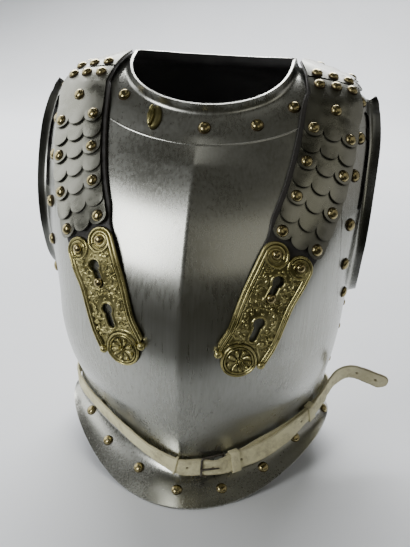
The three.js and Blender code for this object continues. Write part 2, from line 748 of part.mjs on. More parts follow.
// Walks over the torso from a place, in a direction that stays in the surface.
function walk(place, direction, distance) {
  const steps = Math.max(1, Math.ceil(Math.abs(distance) / 5));
  const step = distance / steps;
  let { angle, z } = place;
  const heading = direction.clone();
  for (let i = 0; i < steps; i += 1) {
    const normal = torsoNormal(angle, z);
    heading.addScaledVector(normal, -heading.dot(normal)).normalize();
    const pa = torso(angle + 1e-3, z).sub(torso(angle - 1e-3, z)).multiplyScalar(500);
    const pz = torso(angle, z + 0.05).sub(torso(angle, z - 0.05)).multiplyScalar(10);
    const aa = pa.dot(pa);
    const az = pa.dot(pz);
    const zz = pz.dot(pz);
    const ra = pa.dot(heading) * step;
    const rz = pz.dot(heading) * step;
    const det = aa * zz - az * az;
    angle += (ra * zz - rz * az) / det;
    z += (rz * aa - ra * az) / det;
  }
  return { angle, z };
}

// Point over the torso by distance along the right strap, distance across it (outwards is
// positive) and height over the steel.
function strapPoint(distance, across_, height) {
  const middle = strapPlace(distance);
  const ahead = strapPlace(distance + 1);
  const behind = strapPlace(distance - 1);
  const forward = torso(ahead.angle, ahead.z).sub(torso(behind.angle, behind.z));
  const sideways = forward.cross(torsoNormal(middle.angle, middle.z)).normalize();
  const place = walk(middle, sideways, across_);
  return torso(place.angle, place.z).addScaledVector(torsoNormal(place.angle, place.z), height);
}

function strapFrame(distance, across_, height) {
  const origin = strapPoint(distance, across_, height);
  const normal = strapPoint(distance, across_, height + 5).sub(origin);
  const hint = strapPoint(distance + 2, across_, height).sub(strapPoint(distance - 2, across_, height));
  return frameAt(origin, normal, hint.cross(normal));
}

function spread(from, to, cells) {
  return Array.from({ length: cells + 1 }, (_, i) => from + (to - from) * i / cells);
}

// A slab that follows the strap: height gives its underside at a distance along and across.
function strapSlab(alongs, acrosses, height, thickness) {
  const net = (extra) => alongs.map((s) => acrosses.map((u) => {
    const place = typeof s === 'function' ? s(u) : s;
    return strapPoint(place, u, height(place, u) + extra);
  }));
  return slab(net(thickness), net(0));
}

// How far the scalloped edge of a plate stands back from its line, across the strap.
function scallop(u) {
  const lobe = 2 * SCALE.halfWidth / 3;
  const within = ((u + SCALE.halfWidth) % lobe) / lobe;
  const t = Math.min(Math.max(2 * within - 1, -1), 1);
  return SCALE.dip * (1 - Math.sqrt(Math.max(0, 1 - t * t)));
}

// A scale plate from its plain upper end to its scalloped edge; rivets are joined to it.
function scalePlate(start, edge, rivets) {
  const length = Math.abs(edge - start);
  const sign = Math.sign(edge - start);
  const sloping = SCALE.pitch + SCALE.cover;
  const flat = length - sloping;
  const height = (s) => LEATHER.high + SCALE_LIFT + strapLift(s)
    + SCALE.rise * Math.max(0, Math.abs(s - start) - flat);
  const acrosses = spread(-SCALE.halfWidth, SCALE.halfWidth, 9);
  const cells = Math.max(2, Math.round(length / 14));
  const alongs = spread(0, 1, cells).map((f) => (u) => {
    const end = edge - sign * scallop(u);
    return f < 1 ? start + f * (edge - sign * SCALE.dip - start) : end;
  });
  if (sign < 0) {
    alongs.reverse();
  }
  let solid = toSolid(strapSlab(alongs, acrosses, height, SCALE.thickness));
  for (const rivet of rivets) {
    const frame = strapFrame(rivet.s, rivet.u, height(rivet.s) + SCALE.thickness);
    solid = solid.add(toSolid(placed(dome(RIVET_RADIUS - 0.3, RIVET_HEIGHT, 0.7, 7), frame)));
  }
  return toGeometry(solid);
}

function addPair(name, geometry, look) {
  addMesh(`${name}_left`, geometry, look);
  addMesh(`${name}_right`, mirrored(geometry), look);
}

// The leather draws in on its inner side over the shoulder, clear of the neck's turned edge.
function leatherNet(height) {
  return spread(LEATHER.start, LEATHER.end, 20).map((s) => {
    const inner = LEATHER.inner - LEATHER.drawIn * THREE.MathUtils.smoothstep(s, 290, 350);
    return spread(-inner, LEATHER.outer, 2).map((u) => strapPoint(s, u, height + strapLift(s)));
  });
}

addPair('strap_leather', slab(leatherNet(LEATHER.high), leatherNet(LEATHER.low)), BLACK_LEATHER);

const twoRivets = (s) => [{ s, u: -19 }, { s, u: 19 }];
const threeRivets = (s) => [{ s, u: -17.5 }, { s, u: 0 }, { s, u: 17.5 }];
for (let k = 0; k < 6; k += 1) {
  const edge = FIRST_SCALE_EDGE + k * SCALE.pitch;
  const rivets = k % 2 === 0 ? twoRivets(edge + 8) : [];
  const plate = scalePlate(edge + SCALE.pitch + SCALE.cover, edge, rivets);
  addPair(`scale_front_${k + 1}`, plate, STEEL);
}
const longEdge = FIRST_SCALE_EDGE + 6 * SCALE.pitch;
addPair('scale_shoulder', scalePlate(SHOULDER_PLATE_END, longEdge, [
  ...twoRivets(longEdge + 8), { s: longEdge + 34, u: 0 }, ...threeRivets(SHOULDER_PLATE_END - 8),
]), STEEL);
addPair('scale_crest', scalePlate(CREST_PLATE_START, CREST_PLATE_END, [
  ...threeRivets(CREST_PLATE_START + 7),
]), STEEL);
for (let k = 0; k < 2; k += 1) {
  const edge = CREST_PLATE_END + (k + 1) * SCALE.pitch;
  const rivets = k % 2 === 0 ? twoRivets(edge - 8) : [];
  const plate = scalePlate(edge - SCALE.pitch - SCALE.cover, edge, rivets);
  addPair(`scale_back_${k + 1}`, plate, STEEL);
}

// ---------------------------------------------------------------- keyhole plates and studs

// An outline given across and along the strap, as a prism through the plate.
function strapPrism(outline, frame) {
  const shape = new THREE.Shape(outline.map(([u, s]) => {
    const d = strapPoint(s, u, 3).sub(frame.origin);
    return new THREE.Vector2(d.dot(frame.x), d.dot(frame.y));
  }));
  const geometry = new THREE.ExtrudeGeometry(shape, { depth: 60, bevelEnabled: false });
  return toSolid(placed(geometry.translate(0, 0, -30), frame));
}

function arc(u, s, radius, from, to, steps) {
  return spread(from, to, steps).map((degrees) => {
    const t = radians(degrees);
    return [u + radius * Math.cos(t), s + radius * Math.sin(t)];
  });
}

const plateHeight = (s) => {
  const t = Math.min(Math.max((s - 94) / 32, 0), 1);
  return KEYHOLE_PLATE.low + KEYHOLE_PLATE.lift * t * t * (3 - 2 * t);
};

function keyholePlate() {
  const k = KEYHOLE_PLATE;
  const frame = strapFrame(80, 0, 3);
  const lobe = k.halfWidth / 2;
  const body = strapSlab(spread(8, 153, 9), spread(-28, 28, 2), plateHeight, k.thickness);
  const outline = [
    ...arc(lobe, k.lobes, lobe, 0, 165, 5),
    ...arc(-lobe, k.lobes, lobe, 15, 180, 5),
    [-k.halfWidth, k.foot],
    [-k.ball, k.foot - 4],
    ...arc(0, k.rosette, k.rosetteRadius, 170, 370, 8),
    [k.ball, k.foot - 4],
    [k.halfWidth, k.foot],
  ];
  let solid = toSolid(body).intersect(strapPrism(outline, frame));
  for (const side of [-1, 1]) {
    const acrosses = [side * k.bead - 2.6, side * k.bead, side * k.bead + 2.6];
    const crown = (u) => (Math.abs(u) === k.bead ? 1.2 : -0.2);
    const alongs = spread(40, k.lobes, 6);
    const top = alongs.map((s) => acrosses.map((u) => (
      strapPoint(s, u, plateHeight(s) + k.thickness + crown(u)))));
    const low = alongs.map((s) => acrosses.map((u) => strapPoint(s, u, plateHeight(s) + 0.8)));
    solid = solid.add(toSolid(slab(top, low)));
    const ball = new THREE.SphereGeometry(4.3, 6, 4);
    solid = solid.add(toSolid(placed(ball, strapFrame(31, side * k.ball, 3.6))));
    const rivet = dome(RIVET_RADIUS - 0.8, RIVET_HEIGHT, 1.6, 7);
    const high = plateHeight(139) + k.thickness;
    solid = solid.add(toSolid(placed(rivet, strapFrame(139, side * 13.2, high))));
  }
  const rosette = dome(16.5, 3.6, 1.4, 12);
  solid = solid.add(toSolid(placed(rosette, strapFrame(k.rosette, 0, k.low + k.thickness))));
  for (const { hole, end } of KEYHOLES) {
    const w = SLOT_HALF_WIDTH;
    const outlineOfHole = [
      [-w, end], ...arc(0, end, w, 225, 315, 2), [w, end],
      ...arc(0, hole, KEYHOLE_RADIUS, -50, 230, 7),
    ];
    solid = solid.subtract(strapPrism(outlineOfHole, frame));
  }
  return toGeometry(solid);
}

addPair('keyhole_plate', keyholePlate(), BRASS);

const studProfile = [
  [0, 0.3], [STUD.stem + 1, 0.3], [STUD.stem, 1], [STUD.stem, 6], [STUD.head, 6.2],
  [STUD.head * 0.86, 8], [0, 9],
];
const studLathe = new THREE.LatheGeometry(
  studProfile.map(([r, z]) => new THREE.Vector2(r, z)),
  10,
).rotateX(Math.PI / 2);
addPair('strap_stud', toGeometry(toSolid(placed(studLathe, strapFrame(STUD.at, 0, 0)))), STEEL);

// ---------------------------------------------------------------- rivets and the neck hook

function surfaceFrame(angle, z, height) {
  const normal = torsoNormal(angle, z);
  const origin = torso(angle, z).addScaledVector(normal, height);
  return frameAt(origin, normal, new THREE.Vector3(0, 0, 1));
}

const rivetHead = dome(RIVET_RADIUS, RIVET_HEIGHT, 0, 8);
NECK_RIVETS.forEach((place, i) => {
  const frame = surfaceFrame(radians(place.angle), place.z, 0.3);
  addMesh(`rivet_neck_${i + 1}`, placed(rivetHead, frame), BRASS);
});
ARM_RIVETS.forEach((place, i) => {
  for (const side of [-1, 1]) {
    const frame = surfaceFrame(radians(side * place.angle), place.z, 0.3);
    const name = `rivet_arm_${side > 0 ? 'left' : 'right'}_${i + 1}`;
    addMesh(name, placed(rivetHead, frame), BRASS);
  }
});

function skirtPoint(angle, down) {
  const z = creaseHeight(angle);
  const start = torso(angle, z);
  const slope = torso(angle, z - 3).sub(start).normalize();
  const end = rimPoint(angle, RIM_FRONT);
  const bend = start.clone().addScaledVector(slope, Math.min(12, 0.5 * start.distanceTo(end)));
  return start.multiplyScalar((1 - down) ** 2)
    .addScaledVector(bend, 2 * down * (1 - down))
    .addScaledVector(end, down * down);
}

WAIST_RIVETS.forEach((place, i) => {
  const angle = radians(place.angle);
  const p = skirtPoint(angle, place.down);
  const a = skirtPoint(angle + 0.01, place.down).sub(skirtPoint(angle - 0.01, place.down));
  const b = skirtPoint(angle, place.down - 0.05).sub(skirtPoint(angle, place.down + 0.05));
  const normal = a.cross(b).normalize();
  const origin = p.addScaledVector(normal, place.lift);
  const frame = frameAt(origin, normal, new THREE.Vector3(0, 0, 1));
  addMesh(`rivet_waist_${i + 1}`, placed(rivetHead, frame), BRASS);
});

const hookFrame = surfaceFrame(radians(HOOK.angle), HOOK.z, 0.4);
const hook = dome(1, 1, 0, 10).scale(HOOK.halfLength, HOOK.halfWidth, HOOK.height);
addMesh('neck_hook', placed(hook, hookFrame), BRASS);

// ---------------------------------------------------------------- waist belt

// Middle of the inmost layer's inner face at an angle round the waist, and the way it looks.
function beltLine(degrees) {
  const angle = radians(degrees);
  const crease = creaseHeight(angle);
  const [rise, out, lean] = ['rise', 'out', 'lean']
    .map((key) => fromTable(BELT_PATH, key, degrees, 'angle'));
  const level = torsoNormal(angle, crease + BELT_WALL).setZ(0).normalize();
  const point = torso(angle, crease + BELT_WALL).addScaledVector(level, out);
  point.z = crease + rise;
  const normal = level.multiplyScalar(Math.cos(radians(lean)));
  normal.z = -Math.sin(radians(lean));
  return { point, normal };
}

// A station of a strip: its middle point, the way its face looks and the way across.
function beltStation(degrees, over, raise = 0) {
  const { point, normal } = beltLine(degrees);
  const forward = beltLine(degrees + 1.5).point.sub(beltLine(degrees - 1.5).point).normalize();
  const up = normal.cross(forward).normalize();
  const outward = forward.cross(up);
  point.addScaledVector(up, raise).addScaledVector(outward, over + BELT_THICKNESS / 2);
  return { point, normal: outward, up };
}

function strip(stations, halfWidth, thickness) {
  const row = (side) => (station) => [-1, 1].map((across_) => station.point.clone()
    .addScaledVector(station.up, across_ * halfWidth * (station.width ?? 1))
    .addScaledVector(station.normal, side * thickness / 2));
  const [outer, inner] = [1, -1].map((side) => stations.map(row(side)).map((r) => r.reverse()));
  return slab(outer, inner);
}

const billet = BILLET.map((row) => (
  { ...beltStation(row.angle, row.over, row.raise), width: row.width }
));
const tailPoints = BILLET_END.map((row) => new THREE.Vector3(row.x, row.y, row.z));
BILLET_END.forEach((row, i) => {
  const before = i > 0 ? tailPoints[i - 1] : billet[billet.length - 1].point;
  const after = i < tailPoints.length - 1 ? tailPoints[i + 1] : new THREE.Vector3().copy(BILLET_TIP);
  const forward = after.clone().sub(before).normalize();
  const normal = new THREE.Vector3(row.nx, row.ny, row.nz);
  normal.addScaledVector(forward, -normal.dot(forward)).normalize();
  billet.push({ point: tailPoints[i], normal, up: normal.clone().cross(forward).normalize() });
});
const lastStation = billet[billet.length - 1];
billet.push({ ...lastStation, point: new THREE.Vector3().copy(BILLET_TIP), width: 0.25 });
addMesh('belt_billet', strip(billet, BELT_HALF_WIDTH, BELT_THICKNESS), BUFF_LEATHER);

const chape = CHAPE.map((row) => beltStation(row.angle, 0, row.raise));
addMesh('belt_chape', strip(chape, BELT_HALF_WIDTH, BELT_THICKNESS), BUFF_LEATHER);

// A flat rectangular ring on its x and y axes, with the hole shifted along y.
function ring(halfX, low, high, hole, depth) {
  const corner = (x, y0, y1) => [[-x, y0], [x, y0], [x, y1], [-x, y1]];
  const toPoints = (list) => list.map((p) => new THREE.Vector2(...p));
  const shape = new THREE.Shape(toPoints(corner(halfX, low, high)));
  shape.holes.push(new THREE.Path(toPoints(corner(hole.halfX, hole.low, hole.high)).reverse()));
  return new THREE.ExtrudeGeometry(shape, { depth, bevelEnabled: false });
}

// A loop round the belt, whose layers are together so thick.
function beltLoop(degrees, thick, length, walls) {
  const station = beltStation(degrees, -BELT_THICKNESS / 2);
  const x = station.up;
  const y = station.normal;
  const hole = {
    halfX: BELT_HALF_WIDTH + walls.gap, low: -walls.gap, high: thick + walls.gap,
  };
  const loop = ring(hole.halfX + walls.side, hole.low - walls.under, hole.high + walls.over, hole, length);
  loop.translate(0, 0, -length / 2);
  return placed(loop, { origin: station.point, x, y, z: x.clone().cross(y) });
}

for (const keeper of KEEPERS) {
  const loop = beltLoop(keeper.angle, 2 * BELT_THICKNESS + 0.6, keeper.length, KEEPER);
  addMesh(keeper.name, loop, BUFF_LEATHER);
}
const thongWalls = { under: THONG.wall, over: THONG.wall, side: THONG.wall, gap: THONG.gap };
addMesh(
  'belt_thong',
  beltLoop(THONG.angle, BELT_THICKNESS, THONG.length, thongWalls),
  BUFF_LEATHER,
);

// A frame that runs over the belt from one place to another, each so far over its inmost layer.
function beltFrame(from, fromOver, to, toOver) {
  const start = beltStation(from, fromOver - BELT_THICKNESS / 2);
  const end = beltStation(to, toOver - BELT_THICKNESS / 2);
  const x = end.point.clone().sub(start.point);
  const length = x.length();
  x.normalize();
  const z = start.normal.clone().add(end.normal);
  z.addScaledVector(x, -z.dot(x)).normalize();
  return { origin: start.point, x, y: z.clone().cross(x), z, length };
}

const buckleFrame = beltFrame(BUCKLE.outer, BUCKLE.outerOver, BUCKLE.hinge, BUCKLE.hingeOver);
const halfLong = buckleFrame.length / 2 + BUCKLE.bar / 2;
const buckleHole = {
  halfX: halfLong - BUCKLE.bar,
  low: -BUCKLE.halfAcross + BUCKLE.bar - 0.6,
  high: BUCKLE.halfAcross - BUCKLE.bar + 0.6,
};
const buckle = ring(halfLong, -BUCKLE.halfAcross, BUCKLE.halfAcross, buckleHole, BUCKLE.bar);
buckle.translate(buckleFrame.length / 2, 0, 0);
addMesh('belt_buckle', placed(buckle, buckleFrame), STEEL);

const tongueFrame = beltFrame(TONGUE.from, TONGUE.fromOver, TONGUE.to, TONGUE.toOver);
const tongue = new THREE.BoxGeometry(tongueFrame.length, TONGUE.width, TONGUE.thickness);
tongue.translate(tongueFrame.length / 2, 0, TONGUE.thickness / 2);
addMesh('belt_tongue', placed(tongue, tongueFrame), STEEL);

// ---------------------------------------------------------------- origin

// The origin is under the middle of the whole object's bounding box.
const box = new THREE.Box3().setFromObject(group);
group.position.set(-(box.min.x + box.max.x) / 2, -(box.min.y + box.max.y) / 2, -box.min.z);

export default group;
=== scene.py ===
"""Cavalry cuirass on a pale floor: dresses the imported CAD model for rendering.

The formulas of the torso's surface, the straps and the belt are those of the part, in
millimetres of the part's own frame; metres() puts them in the row frame.
"""
import math

import bpy
import numpy as np
from mathutils import Matrix, Vector


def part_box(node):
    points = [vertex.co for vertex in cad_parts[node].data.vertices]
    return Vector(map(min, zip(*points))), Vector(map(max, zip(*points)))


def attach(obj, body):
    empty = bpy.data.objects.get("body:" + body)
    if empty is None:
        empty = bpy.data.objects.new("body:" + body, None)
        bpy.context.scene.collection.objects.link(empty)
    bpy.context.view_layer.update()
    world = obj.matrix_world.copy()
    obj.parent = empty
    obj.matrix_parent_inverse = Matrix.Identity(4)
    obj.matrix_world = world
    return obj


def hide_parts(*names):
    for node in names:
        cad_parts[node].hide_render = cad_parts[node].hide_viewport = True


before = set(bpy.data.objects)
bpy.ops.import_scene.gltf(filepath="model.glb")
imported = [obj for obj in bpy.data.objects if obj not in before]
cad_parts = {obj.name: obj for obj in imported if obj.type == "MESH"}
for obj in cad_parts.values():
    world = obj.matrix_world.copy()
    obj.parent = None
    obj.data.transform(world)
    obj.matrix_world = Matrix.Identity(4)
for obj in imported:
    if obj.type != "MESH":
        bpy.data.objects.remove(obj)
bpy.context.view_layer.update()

# ---- driving dimensions (mm)

SEAM_GAP = 0.6
BREAST_THICKNESS = 2.4
BACK_THICKNESS = 2.0
EDGE = math.radians(89.6)
RIDGE_HEIGHT = 6
RIDGE_HALF_WIDTH = 70
RIDGE_TOP = 392


def columns(names, *rows):
    """A short table: each named column becomes an array."""
    return dict(zip(names.split(), np.array(rows, float).T))


SECTIONS = columns(
    "z width front back full back_full",
    (20, 155.5, 126, 100, -0.08, 0),
    (31, 155, 131, 104, -0.08, 0),
    (45, 154.5, 137.5, 108, -0.08, 0),
    (57, 154, 142, 111.5, -0.08, 0),
    (75, 152.5, 149, 117, -0.06, 0.01),
    (93, 152.5, 155.5, 123, -0.035, 0.02),
    (110, 154, 161, 128.5, -0.01, 0.03),
    (140, 159, 168, 138, 0.015, 0.03),
    (181, 163.5, 173, 149, 0.03, 0.03),
    (205, 165, 174, 154, 0.03, 0.03),
    (229, 167, 174, 157.5, 0.03, 0.03),
    (250, 170.5, 171.5, 159.5, 0.03, 0.03),
    (270, 174, 167, 160, 0.03, 0.03),
    (290, 178, 160, 159.5, 0.03, 0.03),
    (320, 182, 146.5, 157, 0.03, 0.03),
    (345, 183, 132, 152.5, 0.03, 0.03),
    (365, 182, 118, 147, 0.03, 0.03),
    (385, 179, 103, 139, 0.03, 0.03),
    (400, 174.5, 92.5, 130, 0.03, 0.03),
    (414, 169, 82, 118.5, 0.03, 0.03),
    (424, 163.5, 73, 108.5, 0.03, 0.03),
    (432, 151, 64, 99, 0.03, 0.03),
    (440, 131, 53, 87, 0.03, 0.03),
    (446, 113, 42, 74, 0.03, 0.03),
    (450, 100, 31, 59, 0.03, 0.03),
    (453, 87, 17, 35, 0.03, 0.03),
    (455, 72, 2, 5, 0.03, 0.03),
)
CREASE_LOW = 27
CREASE_RISE = 27
RIM_RISE = 44
RIM_FLAT = 0.3
RIM_POWER = 2.2
FLANGE_BEND = 12
FLANGE_ROWS = 12
RIM_HALF_WIDTH = 161.5
RIM_DEPTH = {"front": 171.5, "back": 141}
RIM_FULL = -0.04
NECK_HALF_WIDTH = 92
NECK_TOP = 451.8
NECK_DROP = {"front": 42.8, "back": 7}
ARM = {
    "front": columns(
        "z y",
        (204, 0), (205.5, -10), (210, -24), (218, -40), (230, -54), (246, -66),
        (266, -74), (290, -78), (314, -77.5), (337, -72), (360, -61), (381, -47),
        (398, -34), (412, -21), (421, -9), (424.5, 0),
    ),
    "back": columns(
        "z y",
        (204, 0), (206, 12), (213, 28), (226, 44), (244, 57), (266, 66), (292, 71),
        (320, 70), (346, 63), (368, 53), (388, 41), (404, 28), (417, 14), (424.5, 0),
    ),
}
NECK_FLANGE = {"radius": 6, "turn": 60, "lip": 6}
ARM_FLANGE = {"radius": 5, "turn": 68, "lip": 7}
LIP_SHADE = (5, 8)
WELD = 0.02

STRAP_LINE = columns(
    "angle z",
    (17.6, 158), (18.6, 188), (22.4, 212), (26, 251.5), (29.7, 286), (32.2, 305),
    (35.8, 336), (38.9, 366), (42.3, 395), (46.5, 416), (55, 432), (70, 440.5),
    (90, 444.3), (107, 441), (119, 434), (128, 422), (134, 405), (138, 384),
    (141, 360), (143, 336),
)
LEATHER = {
    "inner": 32.5, "outer": 27, "low": 1.25, "high": 4.3, "start": 142, "end": 456,
    "shoulder_draw_in": 3.5, "shoulder": (290, 350), "end_draw_in": 5, "front_end": (146, 174),
}
CREST = {"at": 372, "reach": 52, "lift": 2.6}
SCALE_HALF_WIDTH = 28
SCALE_LOBE = 2 * SCALE_HALF_WIDTH / 3
SCALE_THICKNESS = 1.2
SCALE_PITCH = 18.65
SCALE_COVER = 12
SCALE_RISE = 0.1
SCALE_DIP = 8.5
SCALE_STEP = 1.6
SCALE_LIFT = 0.5
SCALE_DISH = {"height": 0.55, "reach": 16}
# Darkening of the scales: painted shadow and dirt beside the scalloped edge of the plate above
# (covered), a painted dark outline and dirt along each plate's own scalloped edge (edge), and
# darker plates over the shoulder.
SCALE_DARKENING = {
    "covered": 0.85, "covered_reach": 1.1, "edge": 0.35, "edge_reach": 0.5, "shoulder": 0.72,
}
SHOULDER_DARKENING = (312, 350)
FIRST_SCALE_EDGE = 153
SHOULDER_PLATE_END = 336
SHOULDER_RIVET = 34
CREST_PLATE = (338.5, 398)
RIVET_RADIUS = 6
RIVET_HEIGHT = 3.8
RIVET_SINK = 0.3
SCALE_RIVET = {"size": (5.7, RIVET_HEIGHT), "from_edge": 8, "aside": 19}
ROW_OF_THREE = (-17.5, 0, 17.5)
UPRIGHT = np.array([0, 0, 1.0])
SIDES = ("left", "right")

# ---- the torso surface

low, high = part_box("breastplate")
SHIFT = np.array([(low.x + high.x) / 2, high.y + SEAM_GAP / 1000, 0])


def metres(points):
    return np.asarray(points) / 1000 + SHIFT


def ease(x, start, end):
    """Rises smoothly from 0 to 1 between two values."""
    t = np.clip((x - start) / (end - start), 0, 1)
    return t * t * (3 - 2 * t)


def hermite(t, start, start_slope, end, end_slope):
    """Cubic between two values with given slopes, at places t from 0 to 1."""
    return (
        (2 * t**3 - 3 * t**2 + 1) * start
        + (t**3 - 2 * t**2 + t) * start_slope
        + (3 * t**2 - 2 * t**3) * end
        + (t**3 - t**2) * end_slope
    )


def table(rows, column, at, by="z"):
    """Smooth curve through a table's rows (cubic Hermite, averaged slopes)."""
    knots, values = rows[by], rows[column]
    at = np.clip(at, knots[0], knots[-1])
    k = np.clip(np.searchsorted(knots, at, side="right") - 1, 0, len(knots) - 2)
    slopes = np.diff(values) / np.diff(knots)
    tangents = np.concatenate([slopes[:1], (slopes[:-1] + slopes[1:]) / 2, slopes[-1:]])
    step = knots[k + 1] - knots[k]
    place = (at - knots[k]) / step
    return hermite(place, values[k], step * tangents[k], values[k + 1], step * tangents[k + 1])


def across(angle, full):
    return (np.sin(angle) + full * np.sin(3 * angle)) / (1 - full)


def along(angle, full):
    return (np.cos(angle) - full * np.cos(3 * angle)) / (1 - full)


def torso(angle, z):
    """Points of the outer surface; the angle is 0 in front and grows to the wearer's left."""
    angle, z = np.broadcast_arrays(np.asarray(angle, float), np.asarray(z, float))
    front = np.cos(angle) >= 0
    full = np.where(front, table(SECTIONS, "full", z), table(SECTIONS, "back_full", z))
    depth = np.where(front, table(SECTIONS, "front", z), table(SECTIONS, "back", z))
    x = table(SECTIONS, "width", z) * across(angle, full)
    near = np.maximum(0, 1 - np.abs(x) / RIDGE_HALF_WIDTH) ** 2
    fade = np.clip((RIDGE_TOP - z) / 25, 0, 1)
    y = -depth * along(angle, full) - np.where(front, RIDGE_HEIGHT * near * fade, 0)
    return np.stack([x, y, z], -1)


def unit(v):
    return v / np.linalg.norm(v, axis=-1, keepdims=True)


def torso_slopes(angle, z):
    """How the surface runs, in mm for each radian of angle and each mm of height."""
    by_angle = (torso(angle + 1e-3, z) - torso(angle - 1e-3, z)) * 500
    return by_angle, (torso(angle, z + 0.05) - torso(angle, z - 0.05)) * 10


def torso_normal(angle, z):
    return unit(np.cross(*torso_slopes(angle, z)))


def solve_angle(goes_past, z):
    """Angle, up to the seam, at which a test that holds from there on starts to hold."""
    low_angle, high_angle = np.zeros_like(z), np.full_like(z, EDGE)
    for _ in range(40):
        middle = (low_angle + high_angle) / 2
        past = goes_past(middle)
        high_angle = np.where(past, middle, high_angle)
        low_angle = np.where(past, low_angle, middle)
    return (low_angle + high_angle) / 2


def crease_height(angle):
    return CREASE_LOW + CREASE_RISE * np.abs(np.sin(angle)) ** 1.5


def catmull_rom(points, t):
    """Centripetal Catmull-Rom curve through points, at places t from 0 to 1."""
    points = np.asarray(points, float)
    padded = np.vstack([2 * points[0] - points[1], points, 2 * points[-1] - points[-2]])
    place = np.clip(t, 0, 1) * (len(points) - 1)
    k = np.minimum(place.astype(int), len(points) - 2)
    w = (place - k)[:, None]
    p0, p1, p2, p3 = (padded[k + i] for i in range(4))
    d0, d1, d2 = (
        np.maximum(np.linalg.norm(b - a, axis=1, keepdims=True), 1e-9) ** 0.5
        for a, b in ((p0, p1), (p1, p2), (p2, p3))
    )
    m1 = ((p1 - p0) / d0 - (p2 - p0) / (d0 + d1) + (p2 - p1) / d1) * d1
    m2 = ((p2 - p1) / d1 - (p3 - p1) / (d1 + d2) + (p3 - p2) / d2) * d1
    return hermite(w, p1, m1, p2, m2)


def lengths_along(points):
    """How far each point is from the first, along the line through them."""
    return np.concatenate([[0], np.cumsum(np.linalg.norm(np.diff(points, axis=0), axis=1))])


# ---- meshes

GROUPS = bpy.context.scene.collection


class Build:
    """Collects nets of points and faces, in the part's millimetres, into one object."""

    def __init__(self):
        self.points = []
        self.faces = []
        self.slots = []
        self.fields = {}
        self.count = 0

    def add(self, points, faces, slot=0, mirror=False, **fields):
        points = np.asarray(points, float).reshape(-1, 3)
        faces = np.asarray(faces)
        if mirror:
            points = points * (-1, 1, 1)
            faces = faces[:, ::-1]
        self.points.append(points)
        self.faces.extend((faces + self.count).tolist())
        self.slots.extend([slot] * len(faces))
        for name in set(self.fields) | set(fields):
            known = self.fields.setdefault(name, [np.zeros(self.count)] if self.count else [])
            known.append(np.broadcast_to(fields.get(name, 0.0), len(points)).astype(float))
        self.count += len(points)

    def net(self, net, slot=0, mirror=False, **fields):
        flat = {key: np.ravel(value) for key, value in fields.items()}
        self.add(net, net_faces(*net.shape[:2]), slot, mirror, **flat)

    def object(self, name, materials, replaces, merge=0.0, split=40):
        mesh = bpy.data.meshes.new(name)
        mesh.from_pydata(metres(np.vstack(self.points)).tolist(), [], self.faces)
        for key, parts in self.fields.items():
            layer = mesh.attributes.new(key, "FLOAT", "POINT")
            layer.data.foreach_set("value", np.concatenate(parts).astype(np.float32))
        mesh.polygons.foreach_set("material_index", self.slots)
        mesh.polygons.foreach_set("use_smooth", [True] * len(self.faces))
        piece = bpy.data.objects.new(name, mesh)
        GROUPS.objects.link(piece)
        for material in materials:
            mesh.materials.append(material)
        if merge:
            weld = piece.modifiers.new("weld", "WELD")
            weld.merge_threshold = merge / 1000
        if split:
            edges = piece.modifiers.new("edges", "EDGE_SPLIT")
            edges.split_angle = math.radians(split)
        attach(piece, "root")
        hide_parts(*replaces)
        return piece


def net_faces(rows, cols, wrap=False, close=False):
    """Quads of a net; wrap joins its last column to its first, close its last row."""
    index = np.arange(rows * cols).reshape(rows, cols)
    if close:
        index = np.vstack([index, index[:1]])
    if wrap:
        index = np.hstack([index, index[:, :1]])
    corners = [index[:-1, :-1], index[:-1, 1:], index[1:, 1:], index[1:, :-1]]
    return np.stack(corners, -1).reshape(-1, 4)


def lathe(profile, segments):
    """Points and faces of a turned shape round +Z, from its rim up to its pole."""
    turn = np.linspace(0, 2 * np.pi, segments, endpoint=False)
    rings = [[(r * np.cos(t), r * np.sin(t), z) for t in turn] for r, z in profile]
    return np.array(rings).reshape(-1, 3), net_faces(len(profile), segments, wrap=True)


def at_frame(points, origin, normal, hint=UPRIGHT):
    """Points drawn with +Z outwards, placed at an origin on the surface."""
    z = unit(np.asarray(normal, float))
    x = unit(hint - z * np.dot(hint, z))
    return origin + points @ np.array([x, np.cross(z, x), z])


# ---- materials


